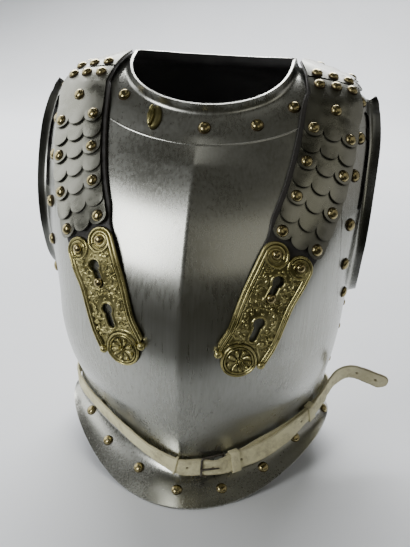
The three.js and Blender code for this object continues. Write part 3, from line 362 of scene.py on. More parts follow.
class Shader:
    """A principled material whose textures are set in the row frame's coordinates."""

    def __init__(self, name, colour, metallic, roughness):
        self.material = bpy.data.materials.new(name)
        self.material.use_nodes = True
        self.tree = self.material.node_tree
        self.surface = self.tree.nodes["Principled BSDF"]
        self.surface.inputs["Base Color"].default_value = (*colour, 1)
        self.surface.inputs["Metallic"].default_value = metallic
        self.surface.inputs["Roughness"].default_value = roughness
        self.place = self.node("ShaderNodeTexCoord").outputs["Object"]

    def node(self, kind, inputs=(), **settings):
        made = self.tree.nodes.new(kind)
        for key, value in settings.items():
            setattr(made, key, value)
        for key, value in dict(inputs).items():
            self.feed(made.inputs[key], value)
        return made

    def feed(self, socket, value):
        if isinstance(value, bpy.types.NodeSocket):
            self.tree.links.new(value, socket)
        else:
            socket.default_value = value

    def noise(self, scale, detail=4, stretch=(1, 1, 1), rough=0.55):
        mapping = self.node("ShaderNodeMapping", {"Vector": self.place, "Scale": stretch})
        made = self.node(
            "ShaderNodeTexNoise",
            {"Vector": mapping.outputs[0], "Scale": scale, "Detail": detail, "Roughness": rough},
        )
        return made.outputs["Fac"]

    def field(self, name):
        return self.node("ShaderNodeAttribute", attribute_name=name).outputs["Fac"]

    def math(self, operation, a, b=0.0):
        return self.node("ShaderNodeMath", {0: a, 1: b}, operation=operation).outputs[0]

    def times(self, a, b):
        return self.math("MULTIPLY", a, b)

    def plus(self, a, b):
        return self.math("ADD", a, b)

    def remap(self, value, start, end, to_start=0.0, to_end=1.0):
        """Carries one range to another, with a smooth step between them."""
        inputs = {0: value, 1: start, 2: end, 3: to_start, 4: to_end}
        made = self.node("ShaderNodeMapRange", inputs, interpolation_type="SMOOTHSTEP")
        return made.outputs[0]

    def mix(self, factor, a, b):
        pair = [(*c, 1) if isinstance(c, tuple) else c for c in (a, b)]
        made = self.node("ShaderNodeMix", {0: factor, 6: pair[0], 7: pair[1]}, data_type="RGBA")
        return made.outputs[2]

    def bump(self, *layers):
        """Stacks bumps: each layer is a height from 0 to 1 and its real depth in mm."""
        normal = None
        for height, depth in layers:
            inputs = {"Height": height, "Distance": depth / 1000, "Strength": 1.0}
            if normal is not None:
                inputs["Normal"] = normal
            normal = self.node("ShaderNodeBump", inputs).outputs[0]
        self.feed(self.surface.inputs["Normal"], normal)

    def set(self, **sockets):
        for name, value in sockets.items():
            self.feed(self.surface.inputs[name.replace("_", " ").title()], value)
        return self.material


def steel_material():
    """Polished plate: upright brushing, clouded gloss, stains, and darker turned-out edges."""
    s = Shader("plate_steel", (0.6, 0.6, 0.59), 1.0, 0.3)
    streak = s.noise(1, 3, (420, 420, 9))
    fine = s.noise(1, 2, (1500, 1500, 40))
    cloud = s.noise(9, 5)
    tone = s.remap(s.plus(s.times(streak, 0.5), s.times(cloud, 0.5)), 0.3, 0.7)
    colour = s.mix(tone, (0.36, 0.358, 0.318), (0.455, 0.457, 0.428))
    stain = s.remap(s.noise(38, 6, rough=0.65), 0.62, 0.78)
    colour = s.mix(s.times(stain, 0.22), colour, (0.22, 0.20, 0.15))
    rust_spot = s.remap(s.noise(150, 2), 0.74, 0.8)
    colour = s.mix(s.times(rust_spot, 0.22), colour, (0.16, 0.09, 0.05))
    colour = s.mix(s.times(s.field("shade"), 0.85), colour, (0.05, 0.05, 0.045))
    gloss = s.plus(s.times(streak, 0.35), s.times(cloud, 0.65))
    rough = s.plus(s.remap(gloss, 0.25, 0.75, 0.22, 0.34), s.times(stain, 0.06))
    lines = [s.math("ABSOLUTE", s.field(name)) for name in ("neck_line", "arm_line")]
    line = s.remap(s.math("MINIMUM", *lines), 0.0, 1.1, 1.0, 0.0)
    s.bump((fine, 0.007), (streak, 0.018), (line, 0.22))
    return s.set(base_color=colour, roughness=rough)


def aged_metal(name, base, cloud_size, tones, darkening, dirt_and_shade_field, rough, marked_rough, *bumps):
    """Clouded metal, dull and dark where a field of the mesh marks dirt and painted shade, as in
    hollows.

    Each bump is a noise's scale and detail, or None for the cloud, and its depth in mm.
    """
    s = Shader(name, base, 1.0, rough[0])
    cloud = s.noise(*cloud_size)
    marked = s.field(dirt_and_shade_field)
    colour = s.mix(marked, s.mix(s.remap(cloud, 0.3, 0.7), *tones), darkening)
    s.bump(*((s.noise(*grain) if grain else cloud, depth) for grain, depth in bumps))
    rough = s.plus(s.remap(cloud, 0.25, 0.75, *rough), s.times(marked, marked_rough))
    return s.set(base_color=colour, roughness=rough)


def leather_material(name, light, dark, *rough):
    """Grained and creased leather, dark where it is dirty or worn, and where a field of the mesh
    paints shade, as in the belt's holes.
    """
    s = Shader(name, light, 0.0, 0.6)
    cells = s.node(
        "ShaderNodeTexVoronoi", {"Vector": s.place, "Scale": 900.0}, feature="DISTANCE_TO_EDGE"
    ).outputs["Distance"]
    crease = s.noise(60, 6, rough=0.7)
    darkening = s.remap(crease, 0.42, 0.7)
    wear_and_shade = s.math("MAXIMUM", s.times(darkening, 0.55), s.field("grime"))
    colour = s.mix(wear_and_shade, light, dark)
    s.bump((s.remap(cells, 0.0, 0.3), 0.08), (crease, 0.5))
    return s.set(base_color=colour, roughness=s.remap(crease, 0.3, 0.7, *rough))


def plain_material(name, colour, metallic, roughness, scale, depth):
    """One colour, uneven in tone, gloss and height."""
    s = Shader(name, colour, metallic, roughness)
    grain = s.noise(scale, 5)
    deep = tuple(c * 0.55 for c in colour)
    s.bump((grain, depth))
    return s.set(
        base_color=s.mix(s.remap(grain, 0.35, 0.65), deep, colour),
        roughness=s.remap(grain, 0.3, 0.7, roughness - 0.08, roughness + 0.1),
    )


STEEL = steel_material()
SCALES = aged_metal(
    "scale_steel", (0.45, 0.44, 0.41), (45, 4), ((0.21, 0.208, 0.172), (0.31, 0.305, 0.262)),
    (0.07, 0.069, 0.058), "grime", (0.2, 0.36), 0.15, ((900, 3), 0.01), (None, 0.35),
)
BRASS = aged_metal(
    "plate_brass", (0.62, 0.5, 0.22), (60, 4), ((0.33, 0.29, 0.11), (0.56, 0.50, 0.23)),
    (0.06, 0.056, 0.03), "hollow", (0.2, 0.36), 0.3, ((700, 2), 0.12),
)
RIVETS = aged_metal(
    "rivet_brass", (0.6, 0.45, 0.2), (220, 3), ((0.25, 0.205, 0.095), (0.42, 0.355, 0.185)),
    (0.07, 0.05, 0.03), "grime", (0.16, 0.3), 0.4, ((400, 2), 0.012),
)
BLACK = leather_material("strap_leather", (0.035, 0.031, 0.028), (0.012, 0.011, 0.01), 0.45, 0.7)
BUFF = leather_material("belt_leather", (0.80, 0.745, 0.47), (0.27, 0.225, 0.13), 0.5, 0.8)
IRON = plain_material("dark_iron", (0.17, 0.15, 0.13), 0.9, 0.4, 300, 0.15)
INSIDE = plain_material("blackened_inside", (0.022, 0.02, 0.019), 0.3, 0.6, 90, 0.2)

# ---- breastplate and backplate


def evenly(angle, z, count):
    """A curve over the torso, resampled to even steps of its own length."""
    run = lengths_along(torso(angle, z))
    want = np.linspace(0, run[-1], count + 1)
    return np.stack([np.interp(want, run, angle), np.interp(want, run, z)], -1)


def plate_net(side, wide, neck_cells, seam_cells, arm_cells):
    """Angle and height over half of a plate: a Coons patch between its four edges."""
    front = side == "front"
    full_key = "full" if front else "back_full"

    def curve(angle, z, count):
        return evenly(angle if front else np.pi - angle, z, count)

    t = np.linspace(0, 1, 400)
    bottom = curve(t * EDGE, crease_height(t * EDGE), wide)
    middle_top = NECK_TOP - NECK_DROP[side]
    middle = curve(0 * t, CREASE_LOW + t * (middle_top - CREASE_LOW), seam_cells + arm_cells)
    arm_yz = catmull_rom(np.stack([ARM[side]["y"], ARM[side]["z"]], -1), t)
    arm_z = arm_yz[:, 1]
    reach = np.abs(arm_yz[:, 0]) / table(SECTIONS, side, arm_z)
    full = table(SECTIONS, full_key, arm_z)
    arm_angle = solve_angle(lambda a: along(a, full) < reach, arm_z)
    seam_low = crease_height(EDGE)
    seam = curve(0 * t + EDGE, seam_low + t * (arm_z[0] - seam_low), seam_cells)
    arm = curve(arm_angle, arm_z, arm_cells)
    neck_z = NECK_TOP - NECK_DROP[side] * np.cos(t * np.pi / 2)
    width = NECK_HALF_WIDTH * np.sin(t * np.pi / 2) / table(SECTIONS, "width", neck_z)
    neck_full = table(SECTIONS, full_key, neck_z)
    neck_angle = solve_angle(lambda a: across(a, neck_full) > width, neck_z)
    neck = curve(neck_angle, neck_z, neck_cells)
    shoulder = curve(0 * t + EDGE, neck_z[-1] + t * (arm_z[-1] - neck_z[-1]), wide - neck_cells)
    outer = np.vstack([seam[:-1], arm])
    top = np.vstack([neck[:-1], shoulder])
    u = np.linspace(0, 1, wide + 1)[None, :, None]
    v = np.linspace(0, 1, seam_cells + arm_cells + 1)[:, None, None]
    return (
        (1 - v) * bottom[None] + v * top[None]
        + (1 - u) * middle[:, None] + u * outer[:, None]
        - (1 - u) * (1 - v) * bottom[0] - u * (1 - v) * bottom[-1]
        - (1 - u) * v * top[0] - u * v * top[-1]
    )


def rim_point(angle, side):
    """Rim of the waist flange below a place whose angle is measured from the plate's middle."""
    lean = np.abs(np.sin(angle))
    rise = RIM_RISE * np.maximum(0, (lean - RIM_FLAT) / (1 - RIM_FLAT)) ** RIM_POWER
    depth = RIM_DEPTH[side] * (1 if side == "front" else -1)
    x = RIM_HALF_WIDTH * across(angle, RIM_FULL)
    return np.stack([x, -depth * along(angle, RIM_FULL), rise], -1)


def skirt_point(angle, down, side="front"):
    """Point of the waist flange, from the crease (down 0) to its rim (down 1)."""
    z = crease_height(angle)
    start = torso(angle, z)
    slope = unit(torso(angle, z - 3) - start)
    end = rim_point(angle if side == "front" else np.pi - angle, side)
    reach = np.minimum(FLANGE_BEND, 0.5 * np.linalg.norm(end - start, axis=-1, keepdims=True))
    bend = start + slope * reach
    down = np.asarray(down)[..., None]
    return start * (1 - down) ** 2 + bend * 2 * down * (1 - down) + end * down**2


def turned_edge(angle, z, outward, flange, steps=7):
    """Rows of points that turn an edge of the sheet outwards: a round bend, then a lip."""
    points = torso(angle, z)
    tangent = unit(np.gradient(points, axis=0))
    normal = torso_normal(angle, z)
    out = unit(np.cross(normal, tangent)) * outward
    turn = math.radians(flange["turn"])
    bends = [(turn * k / steps, 0) for k in range(steps + 1)]
    bends += [(turn, flange["lip"] * k / 3) for k in (1, 2, 3)]
    rows = []
    for bend, lip in bends:
        away = flange["radius"] * math.sin(bend) + lip * math.cos(turn)
        up = flange["radius"] * (1 - math.cos(bend)) + lip * math.sin(turn)
        rows.append(points + out * away + normal * up)
    return np.array(rows)


NECK_LINE = {"low": 384.1, "rise": 0.0192, "slope": 1.2, "end": 50}
ARM_LINE = {"inset": 30, "end": 400}
NO_LINE = 9.0


def border_lines(angle, z, points, arm_edge):
    """Signed distances to the fine raised lines that border the neck and the arms."""
    degrees_ = np.degrees((angle + np.pi) % (2 * np.pi) - np.pi)
    neck = (z - NECK_LINE["low"] - NECK_LINE["rise"] * degrees_**2) * NECK_LINE["slope"]
    neck = np.where(np.abs(degrees_) > NECK_LINE["end"], NO_LINE, neck)
    near_left = points * 1.0
    near_left[..., 0] = np.abs(near_left[..., 0])
    nearest = np.full(z.shape, np.inf)
    for p in arm_edge[::2]:
        nearest = np.minimum(nearest, np.linalg.norm(near_left - p, axis=-1))
    arm = np.where(z > ARM_LINE["end"], NO_LINE, nearest - ARM_LINE["inset"])
    return neck, arm


def plate(name, side, thickness, cells):
    """One sheet; cells count over half its width, half its neck, its seam and its arm edge."""
    wide, neck_cells, seam_cells, _ = cells
    front = side == "front"
    half = plate_net(side, *cells)
    other = half[:, ::-1] * (-1, 1) + (0 if front else 2 * np.pi, 0)
    if front:
        net = np.concatenate([other[:, :-1], half], axis=1)
    else:
        net = np.concatenate([half[:, ::-1], other[:, ::-1][:, 1:]], axis=1)
    angle, z = net[..., 0], net[..., 1]
    body = torso(angle, z)
    downs = (1 - np.cos(np.linspace(0, np.pi / 2, FLANGE_ROWS)[1:])) ** 0.8
    flange = np.array([skirt_point(angle[0], d, side) for d in downs[::-1]])
    flange[..., 2] += thickness * np.exp(-flange[..., 2] / 4)
    arm = slice(seam_cells, None)
    neck = slice(wide - neck_cells, wide + neck_cells + 1)
    lines = np.full((2, len(flange) + len(z), z.shape[1]), NO_LINE)
    if front:
        lines[:, len(flange):] = border_lines(angle, z, body, body[arm, -1])
    build = Build()
    build.net(np.concatenate([flange, body]), neck_line=lines[0], arm_line=lines[1])
    no_lines = {"neck_line": NO_LINE, "arm_line": NO_LINE}
    build.net(turned_edge(angle[-1, neck], z[-1, neck], 1, NECK_FLANGE), **no_lines)
    for column, outward in ((-1, -1), (0, 1)):
        edge = turned_edge(angle[arm, column], z[arm, column], outward, ARM_FLANGE)
        shade = np.tile(ease(np.arange(len(edge)), *LIP_SHADE), (edge.shape[1], 1))
        build.net(edge.transpose(1, 0, 2)[:, :: -outward], shade=shade[:, :: -outward], **no_lines)
    for points in build.points:
        y = points[:, 1]
        y[:] = np.minimum(y, -SEAM_GAP) if front else np.maximum(y, SEAM_GAP)
    piece = build.object(f"{name}_skin", [STEEL, INSIDE], [name], WELD, 0)
    shell = piece.modifiers.new("shell", "SOLIDIFY")
    shell.thickness = thickness / 1000
    shell.offset = -1
    shell.material_offset = 1
    shell.material_offset_rim = 0
    edges = piece.modifiers.new("edges", "EDGE_SPLIT")
    edges.split_angle = math.radians(38)


plate("breastplate", "front", BREAST_THICKNESS, (84, 54, 42, 84))
plate("backplate", "back", BACK_THICKNESS, (60, 36, 30, 60))

# ---- shoulder straps

_degrees, STRAP_Z = catmull_rom(
    np.stack([STRAP_LINE["angle"], STRAP_LINE["z"]], -1), np.linspace(0, 1, 1501)
).T
STRAP_ANGLE = np.radians(_degrees)
STRAP_RUN = lengths_along(torso(STRAP_ANGLE, STRAP_Z))
STRAP_STEPS = 6


def strap_place(distance):
    return np.interp(distance, STRAP_RUN, STRAP_ANGLE), np.interp(distance, STRAP_RUN, STRAP_Z)


def strap_point(distance, offset, height):
    """Points over the left strap: along it, across it (outwards positive), over the steel."""
    distance, offset, height = np.broadcast_arrays(
        *(np.asarray(v, float) for v in (distance, offset, height))
    )
    angle, z = strap_place(distance)
    forward = torso(*strap_place(distance + 1)) - torso(*strap_place(distance - 1))
    heading = unit(np.cross(forward, torso_normal(angle, z)))
    step = offset / STRAP_STEPS
    for _ in range(STRAP_STEPS):
        normal = torso_normal(angle, z)
        heading = unit(heading - normal * np.sum(heading * normal, -1, keepdims=True))
        pa, pz = torso_slopes(angle, z)
        aa, az, zz = (pa * pa).sum(-1), (pa * pz).sum(-1), (pz * pz).sum(-1)
        ra, rz = (pa * heading).sum(-1) * step, (pz * heading).sum(-1) * step
        det = aa * zz - az * az
        angle = angle + (ra * zz - rz * az) / det
        z = z + (rz * aa - ra * az) / det
    return torso(angle, z) + torso_normal(angle, z) * height[..., None]


def strap_lift(distance):
    t = (np.asarray(distance, float) - CREST["at"]) / CREST["reach"]
    return CREST["lift"] * np.maximum(0, 1 - t * t)


def across_lobe(offset):
    """Place over the width of a lobe of the scallop, from -1 to 1."""
    return np.mod(offset + SCALE_HALF_WIDTH, SCALE_LOBE) / SCALE_LOBE * 2 - 1


def scallop(offset):
    """How far the scalloped edge stands back from its line."""
    t = np.clip(across_lobe(offset), -1, 1)
    return SCALE_DIP * (1 - np.sqrt(np.maximum(0, 1 - t * t)))


RIVET_PROFILE = (
    (1.12, -0.1), (1.0, 0.03), (1.0, 0.12), (0.97, 0.3), (0.88, 0.55), (0.72, 0.77), (0.5, 0.92),
    (0.26, 0.99), (0.02, 1.0),
)
RIVET_SIDES = 24
RIVET_SHADE_AND_DIRT_HEIGHT = 0.42


def add_rivet(build, origin, normal, size=(RIVET_RADIUS, RIVET_HEIGHT), slot=0, mirror=False):
    points, faces = lathe(np.array(RIVET_PROFILE) * size, RIVET_SIDES)
    # Painted shade and dirt: dark on the flared skirt round the foot of each head, fading up to the
    # given height of the dome.
    grime = np.repeat([1 - min(1, z / RIVET_SHADE_AND_DIRT_HEIGHT) for _, z in RIVET_PROFILE], RIVET_SIDES)
    build.add(at_frame(points, origin, normal), faces, slot, mirror, grime=grime)


def strap_normal(distance, offset, height):
    return unit(strap_point(distance, offset, height + 5) - strap_point(distance, offset, height))


def slab(build, top, low, slot=0, mirror=False, **fields):
    """A sheet with its edges: the net on top, the net below, and a wall between them."""
    build.net(top, slot, mirror, **fields)
    build.net(low[:, ::-1], slot, mirror, **{k: v[:, ::-1] for k, v in fields.items()})
    for take, flip in (
        (lambda n: n[0], True), (lambda n: n[-1], False),
        (lambda n: n[:, 0], False), (lambda n: n[:, -1], True),
    ):
        wall = [take(low), take(top)] if flip else [take(top), take(low)]
        pairs = {k: np.stack([take(v)] * 2) for k, v in fields.items()}
        build.net(np.stack(wall), slot, mirror, **pairs)


def scale_plate(name, start, edge, rivets, covered_by=None):
    """One row of scales on each strap, from its plain upper end to its scalloped edge."""
    length = abs(edge - start)
    sign = np.sign(edge - start)
    offsets = np.linspace(-SCALE_HALF_WIDTH, SCALE_HALF_WIDTH, 61)
    f = np.linspace(0, 1, int(round(length / SCALE_STEP)))[:, None]
    reach = edge - sign * scallop(offsets)[None]
    knee = edge - sign * (SCALE_DIP + 1)
    plain = np.clip(f / 0.6, 0, 1) * (knee - start)
    distance = start + plain + np.clip((f - 0.6) / 0.4, 0, 1) * (reach - knee)
    offset = np.broadcast_to(offsets, distance.shape)

    def height_at(s):
        """Underside of the plate, which rises where it lies over the next one."""
        fall = np.maximum(0, np.abs(s - start) - (length - SCALE_PITCH - SCALE_COVER))
        return LEATHER["high"] + SCALE_LIFT + strap_lift(s) + SCALE_RISE * fall

    near_edge = np.clip(1 - np.abs(edge - distance) / SCALE_DISH["reach"], 0, 1)
    dish = SCALE_DISH["height"] * (1 - across_lobe(offset) ** 2) * near_edge
    top = strap_point(distance, offset, height_at(distance) + SCALE_THICKNESS + dish)
    low_side = strap_point(distance, offset, height_at(distance))
    darkening = SCALE_DARKENING
    # Painted shade and dirt: a dark outline along this plate's scalloped edge, and painted shadow
    # and dirt where the plate above covers it.
    grime = darkening["edge"] * np.exp(-np.abs(reach - distance) / darkening["edge_reach"])
    if covered_by is not None:
        gap = (covered_by - sign * scallop(offset) - distance) * -sign
        covered = darkening["covered"] * np.exp(-np.maximum(gap, 0) / darkening["covered_reach"])
        grime = np.maximum(grime, covered)
    # The plates get darker over the shoulder.
    grime = np.maximum(grime, darkening["shoulder"] * ease(distance, *SHOULDER_DARKENING))
    order = slice(None, None, int(sign))
    for side in SIDES:
        mirror = side == "right"
        build = Build()
        slab(build, top[order], low_side[order], 0, mirror, grime=grime[order])
        for s, u in rivets:
            high = height_at(s) + SCALE_THICKNESS
            place = strap_point(s, u, high + 0.2), strap_normal(s, u, high)
            add_rivet(build, *place, SCALE_RIVET["size"], 1, mirror)
        build.object(f"{name}_{side}_scales", [SCALES, RIVETS], [f"{name}_{side}"])


def strap_leather():
    distance = np.linspace(LEATHER["start"], LEATHER["end"], 150)[:, None]
    inner = LEATHER["inner"] - LEATHER["shoulder_draw_in"] * ease(distance, *LEATHER["shoulder"])
    inner = inner - LEATHER["end_draw_in"] * (1 - ease(distance, *LEATHER["front_end"]))
    profile = [(0, 0.5), (0.014, 1)] + [(f, 1) for f in np.linspace(0.035, 0.965, 12)]
    profile += [(0.986, 1), (1, 0.5)]
    across_, share = (np.array(v)[None] for v in zip(*profile))
    offset = -inner + (inner + LEATHER["outer"]) * across_
    thick = LEATHER["high"] - LEATHER["low"]
    base = LEATHER["low"] + strap_lift(distance)
    top = strap_point(distance, offset, base + thick * share)
    low_side = strap_point(distance, offset, base + thick * (1 - share))
    for side in SIDES:
        build = Build()
        slab(build, top, low_side, 0, side == "right")
        build.object(f"strap_{side}", [BLACK], [f"strap_leather_{side}"])


def two_rivets(s, turn):
    """Every other plate has a rivet at each side."""
    return [(s, -SCALE_RIVET["aside"]), (s, SCALE_RIVET["aside"])] if turn % 2 == 0 else []


def scale_plates():
    in_from_edge = SCALE_RIVET["from_edge"]
    overlap = SCALE_PITCH + SCALE_COVER
    for k in range(6):
        edge = FIRST_SCALE_EDGE + k * SCALE_PITCH
        rivets = two_rivets(edge + in_from_edge, k)
        scale_plate(f"scale_front_{k + 1}", edge + overlap, edge, rivets, edge + SCALE_PITCH)
    edge = FIRST_SCALE_EDGE + 6 * SCALE_PITCH
    rivets = two_rivets(edge + in_from_edge, 0) + [(edge + SHOULDER_RIVET, 0)]
    rivets += [(SHOULDER_PLATE_END - in_from_edge, u) for u in ROW_OF_THREE]
    scale_plate("scale_shoulder", SHOULDER_PLATE_END, edge, rivets)
    scale_plate("scale_crest", *CREST_PLATE, [(CREST_PLATE[0] + 7, u) for u in ROW_OF_THREE])
    for k in range(2):
        edge = CREST_PLATE[1] + (k + 1) * SCALE_PITCH
        rivets = two_rivets(edge - in_from_edge, k)
        scale_plate(f"scale_back_{k + 1}", edge - overlap, edge, rivets, edge - SCALE_PITCH)


strap_leather()
scale_plates()

# ---- relief of the keyhole plates


def arc(u, s, radius, start, end, steps):
    turn = np.radians(np.linspace(start, end, steps + 1))
    return np.stack([u + radius * np.cos(turn), s + radius * np.sin(turn)], -1)


def polygon_distance(polygon, u, s):
    """Distance to a closed outline, negative inside it."""
    nearest = np.full(u.shape, 1e9)
    inside = np.zeros(u.shape, bool)
    for (u0, s0), (u1, s1) in zip(polygon, np.roll(polygon, -1, axis=0)):
        du, ds = u1 - u0, s1 - s0
        t = np.clip(((u - u0) * du + (s - s0) * ds) / max(du * du + ds * ds, 1e-12), 0, 1)
        nearest = np.minimum(nearest, np.hypot(u - u0 - t * du, s - s0 - t * ds))
        crosses = (s0 > s) != (s1 > s)
        inside ^= crosses & (u < u0 + (s - s0) * du / (ds if ds else 1e-12))
    return np.where(inside, -nearest, nearest)


def bead(distance, half_width, height):
    """Height of a rounded bead, by distance from its middle line."""
    return height * np.sqrt(np.clip(1 - (distance / half_width) ** 2, 0, 1))


class Relief:
    """Ornament raised on a field: each shape is joined to the highest so far."""

    def __init__(self, u, s):
        self.u, self.s = u, s
        self.height = np.zeros(u.shape)

    def join(self, height):
        self.height = np.maximum(self.height, height)

    def line(self, distance, middle, half_width, height):
        """A bead at a given distance from an edge."""
        self.join(bead(distance - middle, half_width, height))

    def dot(self, u, s, radius, height):
        self.join(bead(np.hypot(self.u - u, self.s - s), radius, height))

    def drop(self, u, s, degrees_, length, width, height):
        """A leaf or petal that starts at a point, broadest near its round end."""
        t = math.radians(degrees_)
        x = (self.u - u) * math.cos(t) + (self.s - s) * math.sin(t)
        y = (self.s - s) * math.cos(t) - (self.u - u) * math.sin(t)
        f = np.clip(x / length, 1e-3, 1)
        half = width * np.sqrt(f) * np.sqrt(np.clip(1 - f**4, 1e-6, 1))
        shape = np.where((x > 0) & (x < length), bead(y, half, 1.0), 0)
        vein = 1 - 0.35 * np.exp(-((y / (0.22 * width)) ** 2))
        self.join(height * shape * vein * (0.55 + 0.45 * f))

    def stroke(self, points, start, end, height):
        """A tapering round stem along a smooth line."""
        points = np.asarray(points, float)
        line = catmull_rom(points, np.linspace(0, 1, 14 * len(points)))
        for k, (u, s) in enumerate(line):
            f = k / (len(line) - 1)
            radius = start + f * (end - start)
            self.dot(u, s, radius, height * (0.6 + 0.4 * radius / start))
        return line

    def spray(self, points, leaves, size):
        """A curled stem with leaves to both sides and a berry at its tip."""
        line = self.stroke(points, 0.9, 0.55, 1.0)
        for k in range(leaves):
            at = int((k + 0.6) / leaves * (len(line) - 2))
            u, s = line[at]
            du, ds = line[at + 1] - line[at]
            heading = math.degrees(math.atan2(ds, du))
            long = 1.25 * size * (1 - 0.4 * k / leaves)
            for side in (-1, 1):
                self.drop(u, s, heading + side * (62 - 5 * k), long, long * 0.42, 1.7)
        self.dot(*line[-1], 1.5, 1.3)


KEYHOLE_PLATE = {
    "half_width": 27.5, "foot": 37, "lobes": 137.6, "low": 1.6, "lift": 3.2, "lifts": (94, 126),
    "rosette": 29.5, "rosette_radius": 18.5,
}
LOBE = KEYHOLE_PLATE["half_width"] / 2
KEYHOLES = ((117.5, 98.5), (73, 56.5))
KEYHOLE_RADIUS = 5.5
SLOT_HALF_WIDTH = 3.2
FIELD_HEIGHT = 1.3
CELL = 0.5
BALL = {"at": 31, "aside": 22.6, "over": 3.6, "radius": 4.3}
PLATE_RIVET = {"at": 139, "aside": 13.2, "size": (5, 4.6)}
STUD = {"at": 100.5, "sides": 28}
STUD_PROFILE = (
    (3.4, 0.3), (3.4, 1), (2.3, 1.1), (2.3, 5.6), (4.5, 5.7), (4.7, 6.6), (4.0, 8.0), (2.4, 8.8),
    (0.02, 9.0),
)
# The stud is darker at its foot and on its stem under the head, and not darkened on the head.
STUD_DARKENING = (1.0, 1, 1, 0.7, 0.2, 0, 0, 0, 0)
FLOWER = {"at": (14.5, 102.5), "petals": 6, "turn": 15, "petal": (5.4, 1.9, 1.5), "eye": (1.5, 1.9)}
ROSETTE = {"petals": 9, "turn": 10, "petal": (9, 2.7, 2.6), "starts": 3.4, "eye": (2, 2.9)}
ROSETTE_DOTS = ((10.4, 1.9, 2.9), (3.1, 0.9, 2.6))
SIDE_BEADS = ((1.7, 1.7, 1.9), (5.3, 1.6, 1.7), (8.1, 0.6, 0.8))
ROSETTE_BEADS = ((17, 1.4, 2.2), (14.2, 0.9, 1.7))
ROSETTE_BORDER = (20.6, 0.7, 0.8)
ROSETTE_FIELD_SQUARED = 330
LOBE_BEAD = (6.2, 0.6, 0.8)
LOBE_SCROLL = {"turn": (180, 350), "radius": (12, 8.4), "dot": (1.5, 1.7)}
HOLE_BEAD = (1.3, 0.9, 1.1)
BERRY_HEIGHT = 1.2
# Darkening of the keyhole plates: painted shade and dirt in the relief's recesses, and a darker
# flat field.
HOLLOW = {"reach": 3, "gain": 1.4, "field": 0.35, "flat": 0.05}
ROUNDING = {"drop": 0.7, "reach": 0.9}
SPRAYS = (
    (((7.5, 108), (12, 111), (15.5, 117), (15, 124), (10.5, 126.5)), 4, 4.6),
    (((3, 92.5), (8, 95.5), (12, 94.5), (16.5, 91)), 3, 3.8),
    (((2, 88.5), (8, 88), (14, 84.5), (17, 78.5), (13.5, 75.5)), 4, 3.8),
    (((7.5, 63), (12.5, 65), (16.5, 71), (14, 74)), 3, 4.6),
    (((5, 50.5), (11, 51), (16.5, 55.5), (17, 62)), 4, 4.6),
)
BERRIES = (
    (0, 128, 1.5), (3.2, 125.5, 1.2), (5.2, 129.5, 1.4), (18.4, 112, 1.2), (9, 119.5, 1.2),
    (6.8, 91, 1), (0, 91.5, 1.6), (10.5, 80.5, 1.2), (18.6, 87, 1.2), (9.5, 58, 1.1),
    (18.2, 50.5, 1.3), (0, 83, 1.4),
)


def plate_height(s):
    """Underside of the plate, which rises over the end of the leather."""
    return KEYHOLE_PLATE["low"] + KEYHOLE_PLATE["lift"] * ease(s, *KEYHOLE_PLATE["lifts"])


def plate_relief(u, s, hole):
    """Height of the ornament over the field; the two halves of the plate are alike."""
    k = KEYHOLE_PLATE
    a = np.abs(u)
    r = Relief(a, s)
    from_lobe = np.hypot(a - LOBE, s - k["lobes"])
    from_side = np.where(s < k["lobes"], k["half_width"] - a, LOBE - from_lobe)
    from_side = np.where(s < k["foot"] - 4, 99, from_side)
    for line in SIDE_BEADS:
        r.line(from_side, *line)
    scroll = LOBE_SCROLL
    for t, radius in zip(np.linspace(*scroll["turn"], 50), np.linspace(*scroll["radius"], 50)):
        out = radius * math.cos(math.radians(t)), radius * math.sin(math.radians(t))
        r.dot(LOBE + out[0], k["lobes"] + out[1], *scroll["dot"])
    r.line(from_lobe, *LOBE_BEAD)
    for points, leaves, size in SPRAYS:
        r.spray(points, leaves, size)
    for at, along_, radius in BERRIES:
        r.dot(at, along_, radius, BERRY_HEIGHT)
    for petal in range(FLOWER["petals"]):
        r.drop(*FLOWER["at"], 360 / FLOWER["petals"] * petal + FLOWER["turn"], *FLOWER["petal"])
    r.dot(*FLOWER["at"], *FLOWER["eye"])
    r.line(np.abs(hole), *HOLE_BEAD)
    from_rosette = np.hypot(a, s - k["rosette"])
    r.height = np.where(from_rosette < k["rosette_radius"] + 0.4, 0, r.height)
    r.line(np.where(s > k["rosette"] + 6, from_rosette, 99), *ROSETTE_BORDER)
    for line in ROSETTE_BEADS:
        r.line(from_rosette, *line)
    full = Relief(u, s)
    for petal in range(ROSETTE["petals"]):
        t = 360 / ROSETTE["petals"] * petal + ROSETTE["turn"]
        out = np.array([math.cos(math.radians(t)), math.sin(math.radians(t))])
        full.drop(*(out * ROSETTE["starts"] + (0, k["rosette"])), t, *ROSETTE["petal"])
        for away, *dot in ROSETTE_DOTS:
            full.dot(*(out * away + (0, k["rosette"])), *dot)
    full.dot(0, k["rosette"], *ROSETTE["eye"])
    return np.maximum(r.height, full.height)


def blurred(values, reach):
    """Running mean over a grid, the same both ways."""
    width = 2 * reach + 1
    for axis in (0, 1):
        padded = np.pad(values, [(reach, reach) if i == axis else (0, 0) for i in (0, 1)], "edge")
        run = np.cumsum(np.insert(padded, 0, 0, axis=axis), axis=axis)
        ahead = np.split(run, [width], axis=axis)[1]
        values = (ahead - run.take(range(ahead.shape[axis]), axis=axis)) / width
    return values


